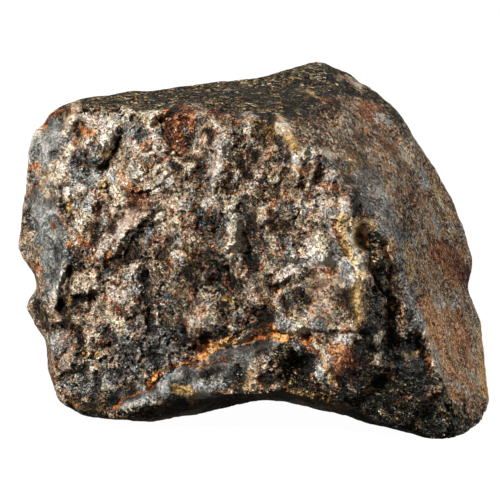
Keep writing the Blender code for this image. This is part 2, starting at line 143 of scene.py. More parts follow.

# Strokes of rock on the front, each laid over the ones before it: kind, share, how much lighter, half
# width, line. How much lighter gives the rock's own light and dark patches, and also painted shade where
# shadows fall and painted highlights where glints fall.
ROCK_STROKES = [
    # Wide grounds
    ("crust", 1, -0.08, 3, -51.5, 36.5, -34.5, 39, -21.5, 40, -6.5, 41, 8.5, 43, 16, 45),
    ("crust", 1, -0.1, 3, -36.5, 38, -19, 38.5, -5.2, 37.8, 4.8, 37, 11, 35.5),
    ("crust", 1, -0.1, 3.5, 1.5, 39.2, 11, 39.2, 18.5, 42.5, 23.5, 42),
    ("brown", 1, 0, 6.5, 18.5, 30.5, 23.5, 28, 32.2, 25.5, 39.8, 15.5, 46, 6.8, 49.8, -0.8),
    ("brown", 1, 0, 5, 23.5, 35, 29.8, 35, 37.2, 28, 44.8, 15.5, 49.8, 3),
    ("brown", 1, 0.04, 6, 43.5, 3, 47.2, -9.5, 49.8, -22, 53, -34.5, 53.5, -40.8),
    ("brown", 1, 0.04, 2.5, 54, -12, 56, -24.5, 56.5, -34.5),
    ("crust", 0.9, -0.05, 1.75, 24, 41, 28, 39.2, 32.5, 36, 35.5, 33),
    ("grey", 1, 0.14, 2.75, -51.5, 31, -53.5, 26.8, -54.5, 23), ("grey", 1, 0.1, 2, -49.5, 31, -51, 25.5),
    ("grey", 1, 0.03, 3.25, -53.5, 13, -52.8, 7.5, -50.5, 4, -49.5, 0),
    ("grey", 0.9, 0.03, 2.5, -52, -1.5, -50.2, -5.8, -51, -9),
    ("grey", 1, -0.08, 2.5, -45, 19, -42, 17.5, -40, 19),
    ("grey", 0.8, -0.05, 3.5, 28, 18, 29.8, 13, 32.2, 6.8, 34.8, 3),
    ("grey", 0.9, 0, 2.25, 35.5, 0.5, 36, -4.5, 38, -10, 39.5, -14, 40.5, -17.5),
    # The next five crust strokes, in the hollow beside the ridge and at the lower right, are partly dark
    # crust and partly painted shade, where these faces lie in shadow.
    ("crust", 1, -0.24, 3, 29.5, 1.5, 32, -2.5, 32.2, -9.5, 33.5, -16),
    ("crust", 1, -0.18, 2.5, 29.5, -11, 31, -17),
    ("crust", 1, -0.34, 4.25, 28, -22.5, 32.2, -20.8, 37.5, -23.2, 39.5, -28.5),
    ("crust", 1, -0.36, 4.5, 24, -34, 31, -33.2, 39, -33.5),
    ("crust", 1, -0.3, 3.75, 31, -39, 38.5, -40.8, 47.2, -43.2),
    ("grey", 0.75, -0.14, 4.5, -32.8, -23.2, -26.5, -20.8, -21, -23.2),
    ("grey", 0.8, -0.12, 4, -40.2, -30.8, -32.8, -28.5, -26.5, -26.5),
    ("grey", 1, -0.05, 2.5, -35, -38.2, -29, -36, -24, -34, -19, -30),
    ("grey", 1, -0.06, 3.25, -19, -35, -12.8, -32.5, -6, -29, 1.5, -25),
    ("tan", 0.5, 0.05, 5.5, -34, 20.5, -26.5, 15.5, -19, 15.5),
    # Left, above
    ("rust", 0.7, 0.02, 1, -53.5, 31, -52.5, 33.5, -49.5, 35, -46.5, 35),
    ("grey", 0.8, -0.02, 1.25, -47.8, 30.5, -47, 27.5),
    ("tan", 0.9, 0.12, 1.12, -44.5, 36.5, -46, 33.5, -47.5, 30),
    ("rust", 0.7, -0.05, 0.75, -45, 32.5, -45.2, 28.5, -46, 26.5),
    ("pink", 0.8, 0.2, 1.38, -42.5, 33.5, -39.8, 31),
    ("orange", 0.7, 0.08, 0.75, -43.2, 31.5, -42.8, 29.8, -40.8, 30),
    ("pink", 0.9, 0.25, 1.12, -41.8, 28, -41, 26.8), ("pink", 0.6, 0.28, 1.5, -37.5, 32, -38, 28.5),
    ("cream", 0.6, 0.26, 1.25, -35.8, 33.5, -33.5, 34.2),
    ("cream", 0.7, 0.18, 0.75, -38.2, 35.8, -37.8, 34.5), ("tan", 0.7, 0.1, 1, -33, 35.5, -31, 34.5),
    ("grey", 0.5, 0.15, 1, -31.5, 32.5, -31.8, 29), ("grey", 0.6, -0.38, 0.88, -33.8, 30.5, -34.8, 27.8),
    ("grey", 0.8, -0.26, 1.38, -45.5, 22.2, -43.5, 24.5, -41, 22.2, -38, 21.8),
    ("ochre", 0.8, 0.04, 0.75, -39, 25.2, -36.8, 24.8),
    ("grey", 0.7, -0.15, 0.75, -40.5, 26.2, -38.5, 26.5),
    ("tan", 0.9, 0.15, 1.25, -46.8, 26, -47.8, 23, -50, 21.5, -52.8, 18),
    ("cream", 0.6, 0.1, 1.25, -51, 21.5, -49.5, 22.5), ("tan", 0.8, 0.1, 1.5, -51, 18.2, -47.5, 19.2),
    ("rust", 0.7, 0.02, 1, -56.2, 21, -54.8, 21.2), ("tan", 0.7, 0.14, 1, -53.8, 16.5, -52, 14),
    ("pink", 0.7, 0.3, 1, -47.5, 14.8, -45.5, 15.2, -43.5, 16), ("grey", 0.8, 0.16, 1, -41.5, 14, -42, 9.8),
    ("ochre", 0.8, 0, 0.75, -47, 12.8, -46.5, 10.5), ("rust", 0.5, -0.1, 0.5, -50.8, 7, -50.2, 6),
    ("tan", 0.8, -0.02, 1.25, -58.2, 6.5, -57, 1.5), ("ochre", 0.9, 0.02, 1, -38.2, 16.5, -37, 18),
    ("pink", 0.8, 0.22, 1, -37.2, 19.2, -35.2, 20.8),
    ("cream", 1, 0.36, 1.25, -35.2, 15.5, -33.5, 14.2, -33.8, 12.2),
    ("cream", 0.5, 0.08, 1.25, -35.8, 18, -33.5, 17.5),
    ("rust", 0.9, -0.12, 1.62, -31.5, 15.5, -29.2, 14.5, -30, 11.5),
    ("tan", 0.7, 0.12, 2.25, -33.5, 22.2, -30.2, 23, -29, 20),
    ("orange", 0.6, 0.1, 0.75, -30.2, 26.2, -29, 25.5),
    ("tan", 0.8, 0.18, 1, -27.5, 17, -25.5, 18.8, -23.5, 20),
    ("grey", 0.7, -0.26, 1.25, -29.5, 31, -28.2, 28.8), ("cream", 0.6, 0.22, 1, -28.8, 34.5, -27, 33.2),
    ("pink", 0.8, 0.25, 1.25, -26.2, 31, -25, 27.5, -23.8, 24.5),
    ("tan", 0.8, 0.15, 1, -25, 34.2, -26, 32.2), ("pink", 0.6, 0.1, 1.25, -31.5, 28, -29.8, 25.8),
    # Red pit
    ("rust", 0.9, -0.28, 1, -19, 36.5, -22, 34.8, -24, 33),
    ("orange", 0.8, 0.05, 0.33, -26, 32.5, -24, 34, -21.5, 35.8),
    ("rust", 1, -0.12, 2.25, -19.8, 33.5, -20.8, 30, -19, 26.2),
    ("rust", 1, 0.02, 1.5, -17.2, 35.2, -16.2, 32), ("tan", 0.6, 0.06, 1.25, -14.8, 36, -12.5, 35),
    ("tan", 0.6, 0.06, 0.88, -20.2, 26.8, -19.2, 26), ("grey", 0.6, -0.25, 1.25, -21, 22.8, -19.5, 21.5),
    ("cream", 0.9, 0.28, 0.75, -21, 24.5, -18.5, 22.5, -16.5, 21),
    ("cream", 0.9, 0.26, 1, -16.5, 21.2, -17.2, 19.8),
    ("tan", 0.8, 0.13, 0.88, -16.2, 21.2, -15.2, 23.5, -14, 26.5, -13.2, 29.5, -12.2, 32),
    ("pink", 0.6, 0.2, 1.25, -22, 12.2, -20, 11.2), ("cream", 0.7, 0.22, 1.25, -21, 7.5, -19.2, 5.2),
    ("cream", 0.6, 0.13, 1, -25, 9, -23.8, 6.5), ("rust", 0.5, -0.12, 1.25, -24.5, 4, -22, 3),
    # Left, middle
    ("pink", 0.8, 0.12, 1.12, -30.5, 10.2, -32.5, 7.8, -34.5, 5, -36, 1.5),
    ("pink", 0.4, 0.05, 1, -31, 7.5, -28.5, 9.5), ("rust", 0.6, -0.3, 1.12, -39.8, 8, -40.8, 5, -40.2, 1.5),
    ("tan", 0.8, 0.13, 1.12, -43, 9.5, -44, 6.5, -42.2, 3.5),
    ("orange", 0.6, 0.1, 0.62, -45, 5.5, -44, 4.8), ("rust", 0.9, -0.1, 1, -44, 3, -42.2, 1.5),
    ("rust", 0.6, 0.1, 0.88, -47.5, 1.5, -46.2, 2.2), ("grey", 0.5, 0.2, 0.75, -38.5, 8, -38, 6.8),
    ("rust", 0.4, -0.22, 1, -36.5, 8.5, -35.5, 6.5), ("pink", 0.8, 0.2, 1.12, -36.8, 4, -39, 1.2),
    ("rust", 0.9, 0, 0.75, -55.8, -2.5, -54.5, -5.2), ("pink", 0.6, 0.22, 1.12, -49.8, -9.8, -51, -12.8),
    ("tan", 0.5, 0.03, 1.25, -54.5, -8, -53.8, -10.8), ("ochre", 0.9, 0.5, 0.8, -46.8, -12.5, -45.8, -10.8),
    ("tan", 0.9, 0.15, 2, -44.5, -8, -42, -6), ("pink", 0.9, 0.3, 1.25, -38, 2.2, -39.5, -0.8),
    ("rust", 0.8, -0.25, 0.75, -37, -0.5, -37.8, -3.5),
    ("orange", 0.9, 0.12, 0.5, -36.5, -0.2, -36.8, -2.5), ("rust", 0.4, 0, 1.75, -35, 0, -34.2, -4),
    ("pink", 0.7, 0.25, 1.75, -36, -10, -33.2, -11.2), ("pink", 0.5, 0.08, 1.75, -32.8, -4.5, -30.8, -8.2),
    ("tan", 0.9, 0.17, 1.75, -41, -13.5, -40.5, -17.2),
    ("cream", 0.8, 0.2, 1.5, -37, -16, -34.5, -17.5, -33.8, -19.5),
    ("cream", 0.8, 0.22, 0.88, -40.5, -21, -38, -20.8), ("tan", 0.8, 0.2, 0.88, -42.5, -20.5, -41.5, -23.5),
    ("ochre", 0.7, 0.04, 1.25, -42.5, -25, -39.8, -25.2),
    # Left, below
    ("pink", 0.6, 0.35, 0.75, -24, -15, -24.5, -17.5), ("tan", 0.8, 0.22, 0.88, -31.5, -20.5, -30.2, -21.2),
    ("grey", 0.6, 0.22, 0.62, -27.2, -22, -28.2, -24.5), ("tan", 0.9, 0.28, 0.88, -42.5, -30, -40, -27.5),
    ("tan", 0.6, 0.14, 1, -39.8, -28.8, -38.8, -29.8), ("pink", 0.8, 0.26, 1, -36, -28, -34.2, -27.5),
    ("pink", 0.6, 0.1, 1.25, -49, -26, -47.5, -28.8), ("grey", 0.8, 0.08, 1.75, -50.2, -22, -48.5, -24.5),
    ("rust", 0.6, 0, 1, -50.5, -30.5, -49.5, -32), ("grey", 1, 0.1, 1.5, -48, -33, -42, -34),
    ("ochre", 0.7, 0.02, 1, -46, -37, -42, -39, -38, -38.5),
    ("tan", 0.7, 0.18, 0.75, -29.5, -26, -28.2, -27),
    # Upper middle
    ("tan", 0.7, 0.1, 1, -11.5, 34, -10, 32), ("cream", 0.6, 0.15, 0.75, -10.8, 33, -10, 31.8),
    ("rust", 0.5, -0.12, 1, -11, 35.2, -9.2, 34.8), ("rust", 0.7, -0.1, 1, -6, 35, -5.2, 32),
    ("cream", 0.7, 0.25, 0.88, -2.5, 34.5, -1.8, 32), ("pink", 0.8, 0.17, 0.88, -1, 33.8, 1.5, 33.2),
    ("pink", 0.7, 0.1, 1.75, -8.5, 30, -9, 25.5, -10, 21, -10.5, 18.5),
    ("grey", 0.4, 0.12, 1.5, -11.2, 23, -10.8, 20.5), ("cream", 0.4, 0.12, 1, -10, 19.5, -9, 18.5),
    ("pink", 0.6, 0.04, 1.25, -7.5, 31, -6.2, 27.5), ("grey", 0.6, 0.2, 0.6, -4, 21, -4.8, 18.5),
    ("crust", 0.8, -0.42, 1.25, 1.8, 33.5, 4, 33), ("ochre", 0.7, 0, 0.75, 0, 32.5, 1.5, 31, 4.5, 31.2),
    ("ochre", 0.5, -0.16, 1.5, 0.2, 29.5, 3.8, 29.5), ("cream", 0.7, 0.17, 0.75, -1.8, 30.5, -1, 28),
    ("tan", 1, 0.3, 1.38, 5.5, 33, 7, 31, 8, 28.8), ("ochre", 0.9, 0.12, 1.25, 8.5, 28.5, 10, 25.8),
    ("grey", 0.8, 0.3, 0.88, 9.2, 24.5, 10.2, 22.2), ("tan", 0.8, 0.14, 0.88, 10.5, 21.5, 10.8, 18.5),
    ("grey", 0.5, -0.3, 1.25, 5.5, 28, 7, 25.5, 8.2, 22.8), ("cream", 0.5, 0.17, 1, 13, 26.5, 12.5, 23.8),
    ("brown", 0.9, -0.18, 1.75, 10, 32, 13.5, 31, 17.2, 28.5),
    ("ochre", 0.8, 0.04, 1, 10.5, 32.2, 12, 31.8), ("pink", 0.6, 0, 1.75, -1, 21.8, 1.5, 20, 2, 23),
    ("pink", 0.6, 0.15, 1, 0.2, 19.8, 1, 17), ("cream", 0.5, 0.06, 0.88, 5.8, 21, 6.2, 18.8),
    ("rust", 0.5, -0.05, 1, 2, 22.2, 4, 22.5), ("ochre", 0.5, -0.05, 1.5, 8.5, 18, 9.5, 15),
    ("rust", 0.7, -0.16, 0.75, 11.2, 20, 11.8, 17), ("rust", 0.4, -0.28, 1.25, 0.5, 15.5, 3, 14.5, 5, 16),
    ("rust", 0.5, -0.12, 1.25, -8.5, 16.5, -5, 17), ("pink", 0.6, 0.14, 1, -3.2, 15, -2, 17),
    # Middle
    ("pink", 0.9, 0.22, 1.25, -12.5, 12, -10.2, 12.2), ("orange", 0.5, 0.08, 0.5, -11.2, 11.2, -10.2, 11.8),
    ("grey", 0.5, 0.2, 0.75, -12.8, 13, -13.2, 10), ("cream", 0.6, 0.1, 1.5, -20, 13, -17.5, 11),
    ("rust", 0.6, -0.22, 1.25, -15, 6.5, -13.5, 3),
    ("cream", 0.7, 0.16, 1.12, -6.8, 11.5, -6, 7.5, -5.8, 4.5),
    ("cream", 0.8, 0.22, 1.75, -5.2, 4.5, -5.8, 1.2),
    ("rust", 0.3, -0.38, 1.38, -3.5, 11.5, -2.5, 8, -2, 4, -1.5, 0.8),
    ("cream", 0.7, 0.17, 1, 1.5, 11.2, 0.8, 7.5), ("cream", 0.6, 0.2, 1, 3.5, 4, 4.5, 0.8),
    ("grey", 0.5, 0.1, 1, 8, 3, 8.8, 0.8), ("pink", 0.6, 0.13, 2.25, 14.5, 15.5, 16.5, 13.5, 14.5, 10.5),
    ("cream", 0.5, 0.15, 1, 13, 10.5, 15.2, 9.8), ("cream", 0.5, 0.1, 1.12, 11, 10.5, 11.5, 7.5),
    ("cream", 0.7, 0.18, 0.6, 15, 21, 13.2, 17.2, 11.8, 14, 10.2, 9.8, 10, 6.8),
    ("cream", 0.8, 0.34, 1.62, 15.5, 3.8, 16.5, 1.2, 16.8, -1),
    ("cream", 0.8, 0.2, 2, 12.8, -0.2, 15.8, 1.8), ("pink", 0.9, 0.3, 1.5, 9, -4, 12, -2.5, 15, -1),
    ("pink", 0.7, 0.15, 1.25, 12.5, 5, 13.5, 1.5), ("pink", 0.5, 0.08, 1.75, -21, -0.8, -19, -4),
    ("ochre", 0.8, 0.04, 1, -17, 1.5, -16.8, -1.2), ("rust", 0.5, -0.15, 2.5, -14, -1, -11, -5),
    ("cream", 0.7, 0.16, 1, -8.5, 0, -5.8, 1), ("cream", 0.5, 0.06, 1.25, -5.8, -1.2, -3.5, -4),
    ("rust", 0.4, -0.16, 1.25, -1.5, -1, -0.8, -3.5), ("cream", 0.6, 0.2, 0.88, 0, -6, 1.5, -5, 3.8, -4.5),
    ("pink", 0.7, 0.28, 1.25, 5, -6.5, 7.5, -5, 10.5, -2.8, 14.5, -1.5),
    ("grey", 0.4, -0.15, 1, 5, -3, 7.2, -1.2), ("pink", 0.5, 0.13, 2, -12, -11.5, -14, -15, -15.8, -17.5),
    ("pink", 0.5, 0.15, 0.75, -15.5, -16, -17, -19.8), ("ochre", 0.8, 0.17, 1, -7.5, -11.2, -6.2, -12.5),
    ("cream", 0.7, 0.2, 0.88, -4.2, -14.5, -3.2, -15.5), ("pink", 0.5, 0.1, 1.75, -2.5, -8.5, -1, -12),
    ("rust", 0.3, -0.2, 1, -4, -17, -2.2, -18.5), ("pink", 0.5, 0.2, 0.75, -1.8, -17.2, -0.8, -18),
    ("cream", 0.5, 0.27, 0.88, 5.8, -10, 5, -12.8), ("cream", 0.6, 0.17, 0.75, 11, -12.8, 10, -15.8),
    ("cream", 0.8, 0.26, 1.38, 9, -18, 12, -19), ("grey", 0.8, 0.08, 1.5, 5.5, -16.5, 8, -20),
    ("grey", 0.6, 0.15, 1.25, 13.5, -15, 15, -18.5), ("rust", 0.5, 0.1, 2.5, 15.5, -4, 16.8, -9, 16.2, -15),
    ("pink", 1, -0.09, 2.25, 15.5, -5, 16.5, -9.5, 16, -14),
    ("rust", 0.3, 0.04, 2.25, 15.5, -5, 16.5, -9.5, 16, -14),
    # Ridge and hollow
    ("pink", 0.6, 0.23, 1.38, 22.2, 12.5, 22.8, 10, 21.8, 7.5),
    ("grey", 0.6, 0.05, 1.25, 17.5, 10, 18.5, 6.5), ("pink", 0.8, 0.2, 1.25, 19.5, 5, 22, 5.5),
    ("cream", 0.8, 0.3, 1, 25.2, 7.5, 23.5, 5.5, 23.2, 3), ("cream", 0.7, 0.2, 1.25, 23.5, 3, 24.5, 0),
    ("cream", 0.8, 0.28, 1.25, 25, -1.5, 26, -5.2),
    ("ochre", 0.8, 0.05, 1.25, 25, -6.5, 25.2, -11, 25.8, -16.5),
    ("pink", 0.5, 0.16, 1, 24.8, -11, 25.2, -13.8), ("ochre", 0.8, 0.06, 1, 24.5, -14.5, 25.5, -18),
    ("grey", 0.8, 0.2, 1.5, 22, -3.5, 23, -7.8), ("cream", 0.6, 0.12, 0.75, 21.5, -8, 22.5, -8.8),
    ("grey", 0.7, 0.03, 1.25, 19.5, 2, 20, -2.5), ("tan", 0.6, 0.1, 1.25, 19.5, -17, 23.5, -17.5),
    ("cream", 0.8, 0.2, 0.75, 23, -20.8, 26.2, -21.2), ("tan", 1, 0.42, 1.12, 17, 25, 19.5, 24.2),
    ("grey", 0.5, -0.2, 1.25, 15, 23, 18.5, 21.5, 22.2, 22.2), ("cream", 0.6, 0.16, 1, 20, 20, 21.5, 17.5),
    ("grey", 0.6, 0.12, 0.75, 18, 19, 19, 17.8), ("ochre", 0.9, -0.02, 0.88, 22, 20.2, 23.5, 18.5),
    # The crust strokes on this line and the next, right of the ridge's crest and in the pit under the ochre
    # rim, are partly painted shade.
    ("tan", 0.6, 0.1, 0.75, 18, 16, 18.8, 13), ("crust", 0.7, -0.34, 1.25, 24.8, 14.5, 25.2, 11, 25.2, 8.2),
    ("crust", 0.9, -0.32, 1.75, 26, 4.5, 29.2, 3.8), ("ochre", 1, 0.1, 0.82, 23.8, 8.2, 26.5, 8, 29.5, 6.2),
    ("orange", 0.5, 0.12, 0.33, 24.5, 8.8, 27.5, 8.8), ("ochre", 0.6, 0.2, 0.75, 28.8, -2.5, 29.5, -5.2),
    ("rust", 0.6, 0.2, 0.75, 29.5, 0.2, 30.8, -0.5), ("ochre", 0.5, 0.2, 0.62, 32, -8.2, 33, -8.8),
    ("ochre", 0.8, 0.34, 0.75, 31.8, -14.8, 32.8, -16.5),
    ("ochre", 0.6, 0.26, 0.55, 34.5, -14.8, 35.5, -15.8), ("ochre", 0.5, 0.18, 0.55, 28, -9.5, 28.8, -10.5),
    # The small cream stroke 0.42 lighter on the next line is a painted highlight, a glint.
    ("cream", 0.9, 0.42, 0.55, 33.5, 2.5, 34, 0.5), ("tan", 0.9, 0.24, 0.65, 34.2, 0, 34.5, -1.8),
    ("grey", 0.9, 0.1, 0.55, 34.5, -2.5, 35.2, -5, 37.5, -10, 40, -15.5),
    # Right face
    ("tan", 1, 0.38, 0.8, 20.5, 44, 23, 43, 26, 41.2), ("ochre", 0.7, 0.16, 0.65, 13, 40.5, 14.5, 38.8),
    ("rust", 0.6, 0.1, 0.75, 16.5, 38.5, 20.5, 37.5),
    ("brown", 1, 0.1, 2.25, 19.8, 33.5, 23.5, 31.8, 21.5, 28.5),
    ("rust", 0.8, -0.03, 1.5, 26.5, 36, 28.5, 33.5), ("orange", 0.8, 0.08, 0.65, 27.5, 31.8, 28, 30.2),
    ("rust", 0.7, -0.05, 1, 28, 37, 31.5, 35.2), ("grey", 0.8, 0.2, 1.12, 31, 33.5, 33, 32.2),
    ("pink", 0.4, 0.04, 2, 31, 29.5, 34, 27.2), ("rust", 0.8, 0, 0.75, 33.2, 26.5, 34.2, 25.8),
    ("tan", 0.7, 0.12, 1, 28, 26, 29.5, 23.8), ("cream", 0.8, 0.22, 0.85, 36.5, 24, 38.2, 23, 39.2, 21.8),
    ("ochre", 0.6, -0.05, 1.5, 23, 25.5, 24.5, 22.2), ("rust", 0.5, -0.15, 1.25, 39, 15.5, 39.5, 11.5),
    ("grey", 0.6, 0.1, 1, 41.5, 20.5, 42.2, 16.5), ("ochre", 0.4, 0.04, 1, 44.5, 16, 46, 11.2),
    ("pink", 0.5, 0.1, 1.5, 43, 8, 45, 5.8), ("rust", 0.7, -0.05, 1.25, 47, 10.5, 49, 7.2),
    ("tan", 0.6, 0.1, 1, 38, 4, 40, 3), ("rust", 0.9, -0.07, 2.75, 46, 0.5, 48.5, -2, 51, -5.5),
    ("rust", 0.9, 0.1, 2, 42, -13, 44, -15.8), ("tan", 0.6, 0.08, 1.25, 42, -19.5, 43.5, -25, 46, -27.8),
    # The small cream stroke 0.35 lighter on the next line is a painted highlight, a glint on the right
    # face.
    ("cream", 0.7, 0.35, 0.5, 46, -11, 46.8, -13.8), ("rust", 0.7, 0, 1.5, 50, -15, 51.5, -18.8),
    ("rust", 0.8, 0.04, 2.5, 45, -19.5, 48, -23.2, 51, -22),
    ("pink", 0.5, 0.1, 2, 48, -26.5, 51, -30.5, 53.5, -34),
    ("orange", 0.6, 0.08, 0.9, 46.5, -32.5, 49, -35, 52, -33.5),
    ("orange", 0.9, 0.25, 1.25, 56.2, -28.5, 57, -35), ("orange", 0.5, 0.12, 1.5, 55.5, -19.5, 56, -27.5),
    ("crust", 0.7, -0.1, 2.25, 45, -33.2, 47.2, -38.2, 51.5, -41),
    ("rust", 0.6, 0.06, 0.75, 52.8, -39.5, 54.2, -40.5), ("rust", 1, 0.25, 0.85, 42.8, -26.5, 43.5, -29.5),
    # Right side and ridge
    ("rust", 0.28, 0.07, 4.5, 44.5, -3.5, 47.5, -12, 48.5, -23.2, 51, -32),
    ("orange", 0.2, 0.06, 2.25, 45.5, -15, 47.5, -24.5, 50.5, -33),
    ("grey", 0.6, 0.1, 0.75, 45.5, -11.5, 46.2, -16.5), ("grey", 0.5, 0.04, 0.75, 49, -12, 50.2, -19),
    ("brown", 0.8, -0.1, 0.88, 47.5, -19.5, 49, -24.5),
    ("brown", 0.8, -0.1, 0.88, 51.5, -24.5, 52.5, -30.5),
    ("brown", 0.7, 0.02, 1.25, 53.5, -16.5, 54.2, -24.5), ("grey", 0.5, 0.06, 0.75, 46.8, -25, 48.2, -30),
    ("tan", 0.5, 0.12, 0.75, 52.5, -34, 53.5, -37.5), ("brown", 0.6, -0.04, 1.25, 49, -30, 50, -35),
    # The small cream strokes 0.5 or more lighter on this line and the next two are painted highlights:
    # glints on the ridge and the hollow's rim.
    ("rust", 0.5, 0.04, 2.25, 29, 32.5, 35.5, 25.5), ("cream", 1, 0.55, 0.35, 22.2, 7.8, 23, 6.5),
    ("cream", 1, 0.55, 0.33, 23.8, 4.2, 23.8, 3), ("cream", 1, 0.5, 0.3, 21, 13, 21.2, 12.2),
    ("cream", 1, 0.55, 0.3, 34.5, -0.8, 34.8, -2.2), ("ochre", 0.8, 0.2, 0.75, 26.5, -5, 27.5, -6.5),
    ("ochre", 0.8, 0.25, 0.75, 25.5, -12.5, 27, -15), ("rust", 0.8, 0.2, 0.62, 33, -12, 34, -13.5),
    ("ochre", 0.7, 0.15, 0.5, 30, -9, 31, -10), ("rust", 0.6, 0.1, 0.62, 29, -2.5, 30.5, -3.5),
    ("orange", 0.9, 0.28, 0.75, 17.2, -26.5, 18.2, -29.5, 19.8, -32),
    # The small cream stroke 0.5 lighter on the next line is a painted highlight, a glint.
    ("orange", 0.6, 0.14, 1, 56.5, -29, 57, -34.5), ("cream", 0.8, 0.5, 0.45, 33.2, 2, 33.8, 0),
    ("rust", 0.6, 0, 1, 43, -12.5, 44.2, -16.5),
    # Ochre ridge
    ("ochre", 0.8, 0.04, 2, 21.5, 8, 22.2, 3.5, 23.8, -2.5), ("grey", 0.7, 0.12, 1.5, 22.2, -3, 23, -8),
    ("ochre", 0.8, 0.02, 1.75, 25, -9.5, 26.2, -17), ("rust", 0.8, -0.1, 0.75, 20, 7.5, 20.5, 3.5),
    ("cream", 0.85, 0.25, 0.75, 23.8, 6, 24.8, 1, 25.5, -3),
    # The small cream stroke 0.45 lighter on the next line is a painted highlight, a glint on the ridge.
    ("ochre", 0.8, 0, 1, 26.5, -8.2, 26.5, -13.2, 27, -17), ("cream", 0.9, 0.45, 0.45, 22.8, 8, 23.5, 7.2),
    ("brown", 0.8, -0.02, 1.75, 33.2, 2, 34.8, -7, 36.5, -18.2),
    ("ochre", 0.6, 0.08, 1, 32.8, 3, 33.8, -2.5), ("ochre", 0.9, 0.26, 1.5, 25.5, 5.5, 26.8, 2),
    ("rust", 0.6, 0.2, 1, 27, 6.5, 28, 3.5), ("ochre", 0.6, 0.08, 1.25, 37.5, 1.5, 39, -2.5, 38.5, -7),
    ("ochre", 0.5, 0.05, 1, 45, 15.5, 47.5, 10, 49, 6),
    # Lower right
    ("cream", 0.9, 0.62, 0.85, 30.2, -22.5, 31.5, -20.2), ("cream", 0.8, 0.6, 0.78, 30, -27.5, 31.2, -25.5),
    ("tan", 0.5, 0.36, 0.75, 36.5, -20.5, 37.8, -21.5),
    ("ochre", 0.9, 0.46, 0.85, 35.5, -25, 38, -26.2, 40.2, -25),
    ("ochre", 0.7, 0.36, 0.6, 33, -30.5, 34, -31.2),
    ("ochre", 0.6, 0.26, 0.75, 26.5, -35.5, 29, -34.5, 31, -35),
    ("orange", 0.6, 0.36, 0.7, 35, -37.5, 38.5, -36.5),
    ("pink", 0.7, 0.17, 1.5, 19.5, -21.5, 23, -22, 25, -21),
    ("rust", 0.9, 0.05, 2, 20, -24.5, 23, -26, 24.8, -27.5),
    ("rust", 0.8, -0.14, 1.5, 22, -28.8, 25.5, -31), ("rust", 0.8, 0.07, 1, 19.2, -27.5, 20.5, -30.8),
    # Long crack and lip: the dark rust strokes along the crack's upper side are partly painted shadow under
    # the overhang, and the orange below is lighter partly as painted light on the lower wall
    ("rust", 0.8, -0.4, 1.25, -13.2, -21.2, -13, -24), ("orange", 1, 0.05, 1.75, -13.2, -24.5, -11, -23.5),
    ("orange", 1, 0.22, 1.25, -13.2, -25.8, -10.8, -24.5),
    ("rust", 0.9, -0.28, 0.85, -10, -21.8, -7.5, -20.8),
    ("orange", 1, 0.22, 1.15, -10.8, -24, -8, -22.8, -6, -21.8),
    ("orange", 1, 0.18, 0.8, -6.2, -22.8, -4, -22.5, -1.5, -22, 1.5, -21.5),
    ("rust", 1, -0.22, 0.75, 0, -20.5, 2.5, -19.8), ("orange", 1, 0.2, 1.4, 1.8, -20.5, 3.5, -19, 5, -20.8),
    ("orange", 1, 0.24, 0.95, 5, -21.8, 7, -21.8, 8.5, -20.8),
    ("grey", 1, -0.1, 1.5, -10.5, -26.8, -5.2, -24.8, 1.5, -23.5, 5, -24.2),
    ("rust", 0.9, -0.4, 0.9, 11, -21.5, 13, -21.5), ("orange", 0.9, 0.12, 0.75, 12.2, -22.8, 14.2, -22),
    ("cream", 0.7, 0.22, 0.75, 14.2, -22.8, 15.5, -23.5),
    ("orange", 0.9, 0.04, 0.33, -35.8, -39, -33, -36.8, -30.2, -35, -26.5, -33.8),
    ("orange", 1, 0.28, 0.82, -26.5, -33, -25, -30.8),
    ("orange", 0.7, 0.02, 0.35, -24.2, -30.2, -21, -28.8, -17.8, -27.5, -14, -26.2),
    ("rust", 0.5, -0.05, 0.65, -15, -29, -10.5, -27.5, -6, -27),
    ("tan", 0.5, 0.06, 0.75, -8.5, -28.8, -7, -29),
    ("grey", 1, 0.2, 1.62, -15, -33.8, -11, -32.8, -6.5, -30.8),
    ("tan", 0.9, 0.3, 1.25, 0, -27.5, -1.5, -30, -0.5, -33, 0.5, -34.8),
    ("orange", 0.5, 0.06, 0.75, -1.5, -29, -1, -32), ("ochre", 0.8, -0.08, 1.12, -3, -32.5, -2, -35),
    ("cream", 0.7, 0.22, 0.85, 2, -26.5, 2.5, -29.5), ("tan", 0.7, 0.12, 0.75, 5.2, -23, 4.5, -25.5),
    ("crust", 0.9, -0.26, 2.5, 7, -25.2, 9, -28.5, 10, -32.5),
    ("rust", 0.6, -0.28, 1.25, 1.5, -31.5, 4, -34), ("pink", 0.9, 0.45, 0.95, 4, -34, 6, -33),
    ("ochre", 1, 0.25, 1.38, -19.8, -34, -16.8, -34.8, -14.8, -36.5, -15.5, -37.8),
    ("grey", 0.7, 0.3, 1.25, 14.5, -28, 16, -31), ("crust", 0.5, -0.32, 1.25, 12, -25, 12.5, -30),
    ("orange", 0.7, 0.3, 0.65, 17.2, -26.2, 18.2, -29.5, 20.2, -33.2),
    ("pink", 0.8, 0.14, 0.85, 17.8, -26.5, 18.2, -28),
    # This crust stroke along the foot is partly painted shade on the underside, which faces away from the
    # light.
    ("crust", 0.8, -0.2, 1.5, -36.5, -40.8, -26.5, -40, -16.5, -38.2, -6.5, -37.5, 1.5, -36, 11, -35.5,
     18.5, -37),
    ("ochre", 0.6, -0.02, 1.25, 8, -35, 17.2, -37, 23.5, -39.5, 32.2, -43),
    ("ochre", 0.5, 0.05, 1, 11, -35.5, 19.8, -38),
    ("rust", 0.6, -0.1, 0.62, -25.2, -39.8, -12.8, -38.5, -5, -37.5),
    # This crust stroke along the foot is partly painted shade on the underside.
    ("crust", 0.8, -0.15, 1.25, 23.5, -40.5, 36, -44.5, 48.5, -45.5, 54.8, -43.2),
    # Worn right side
    ("rust", 0.55, 0.08, 4.5, 47, -18.2, 49.8, -23.2, 52, -33.2),
]
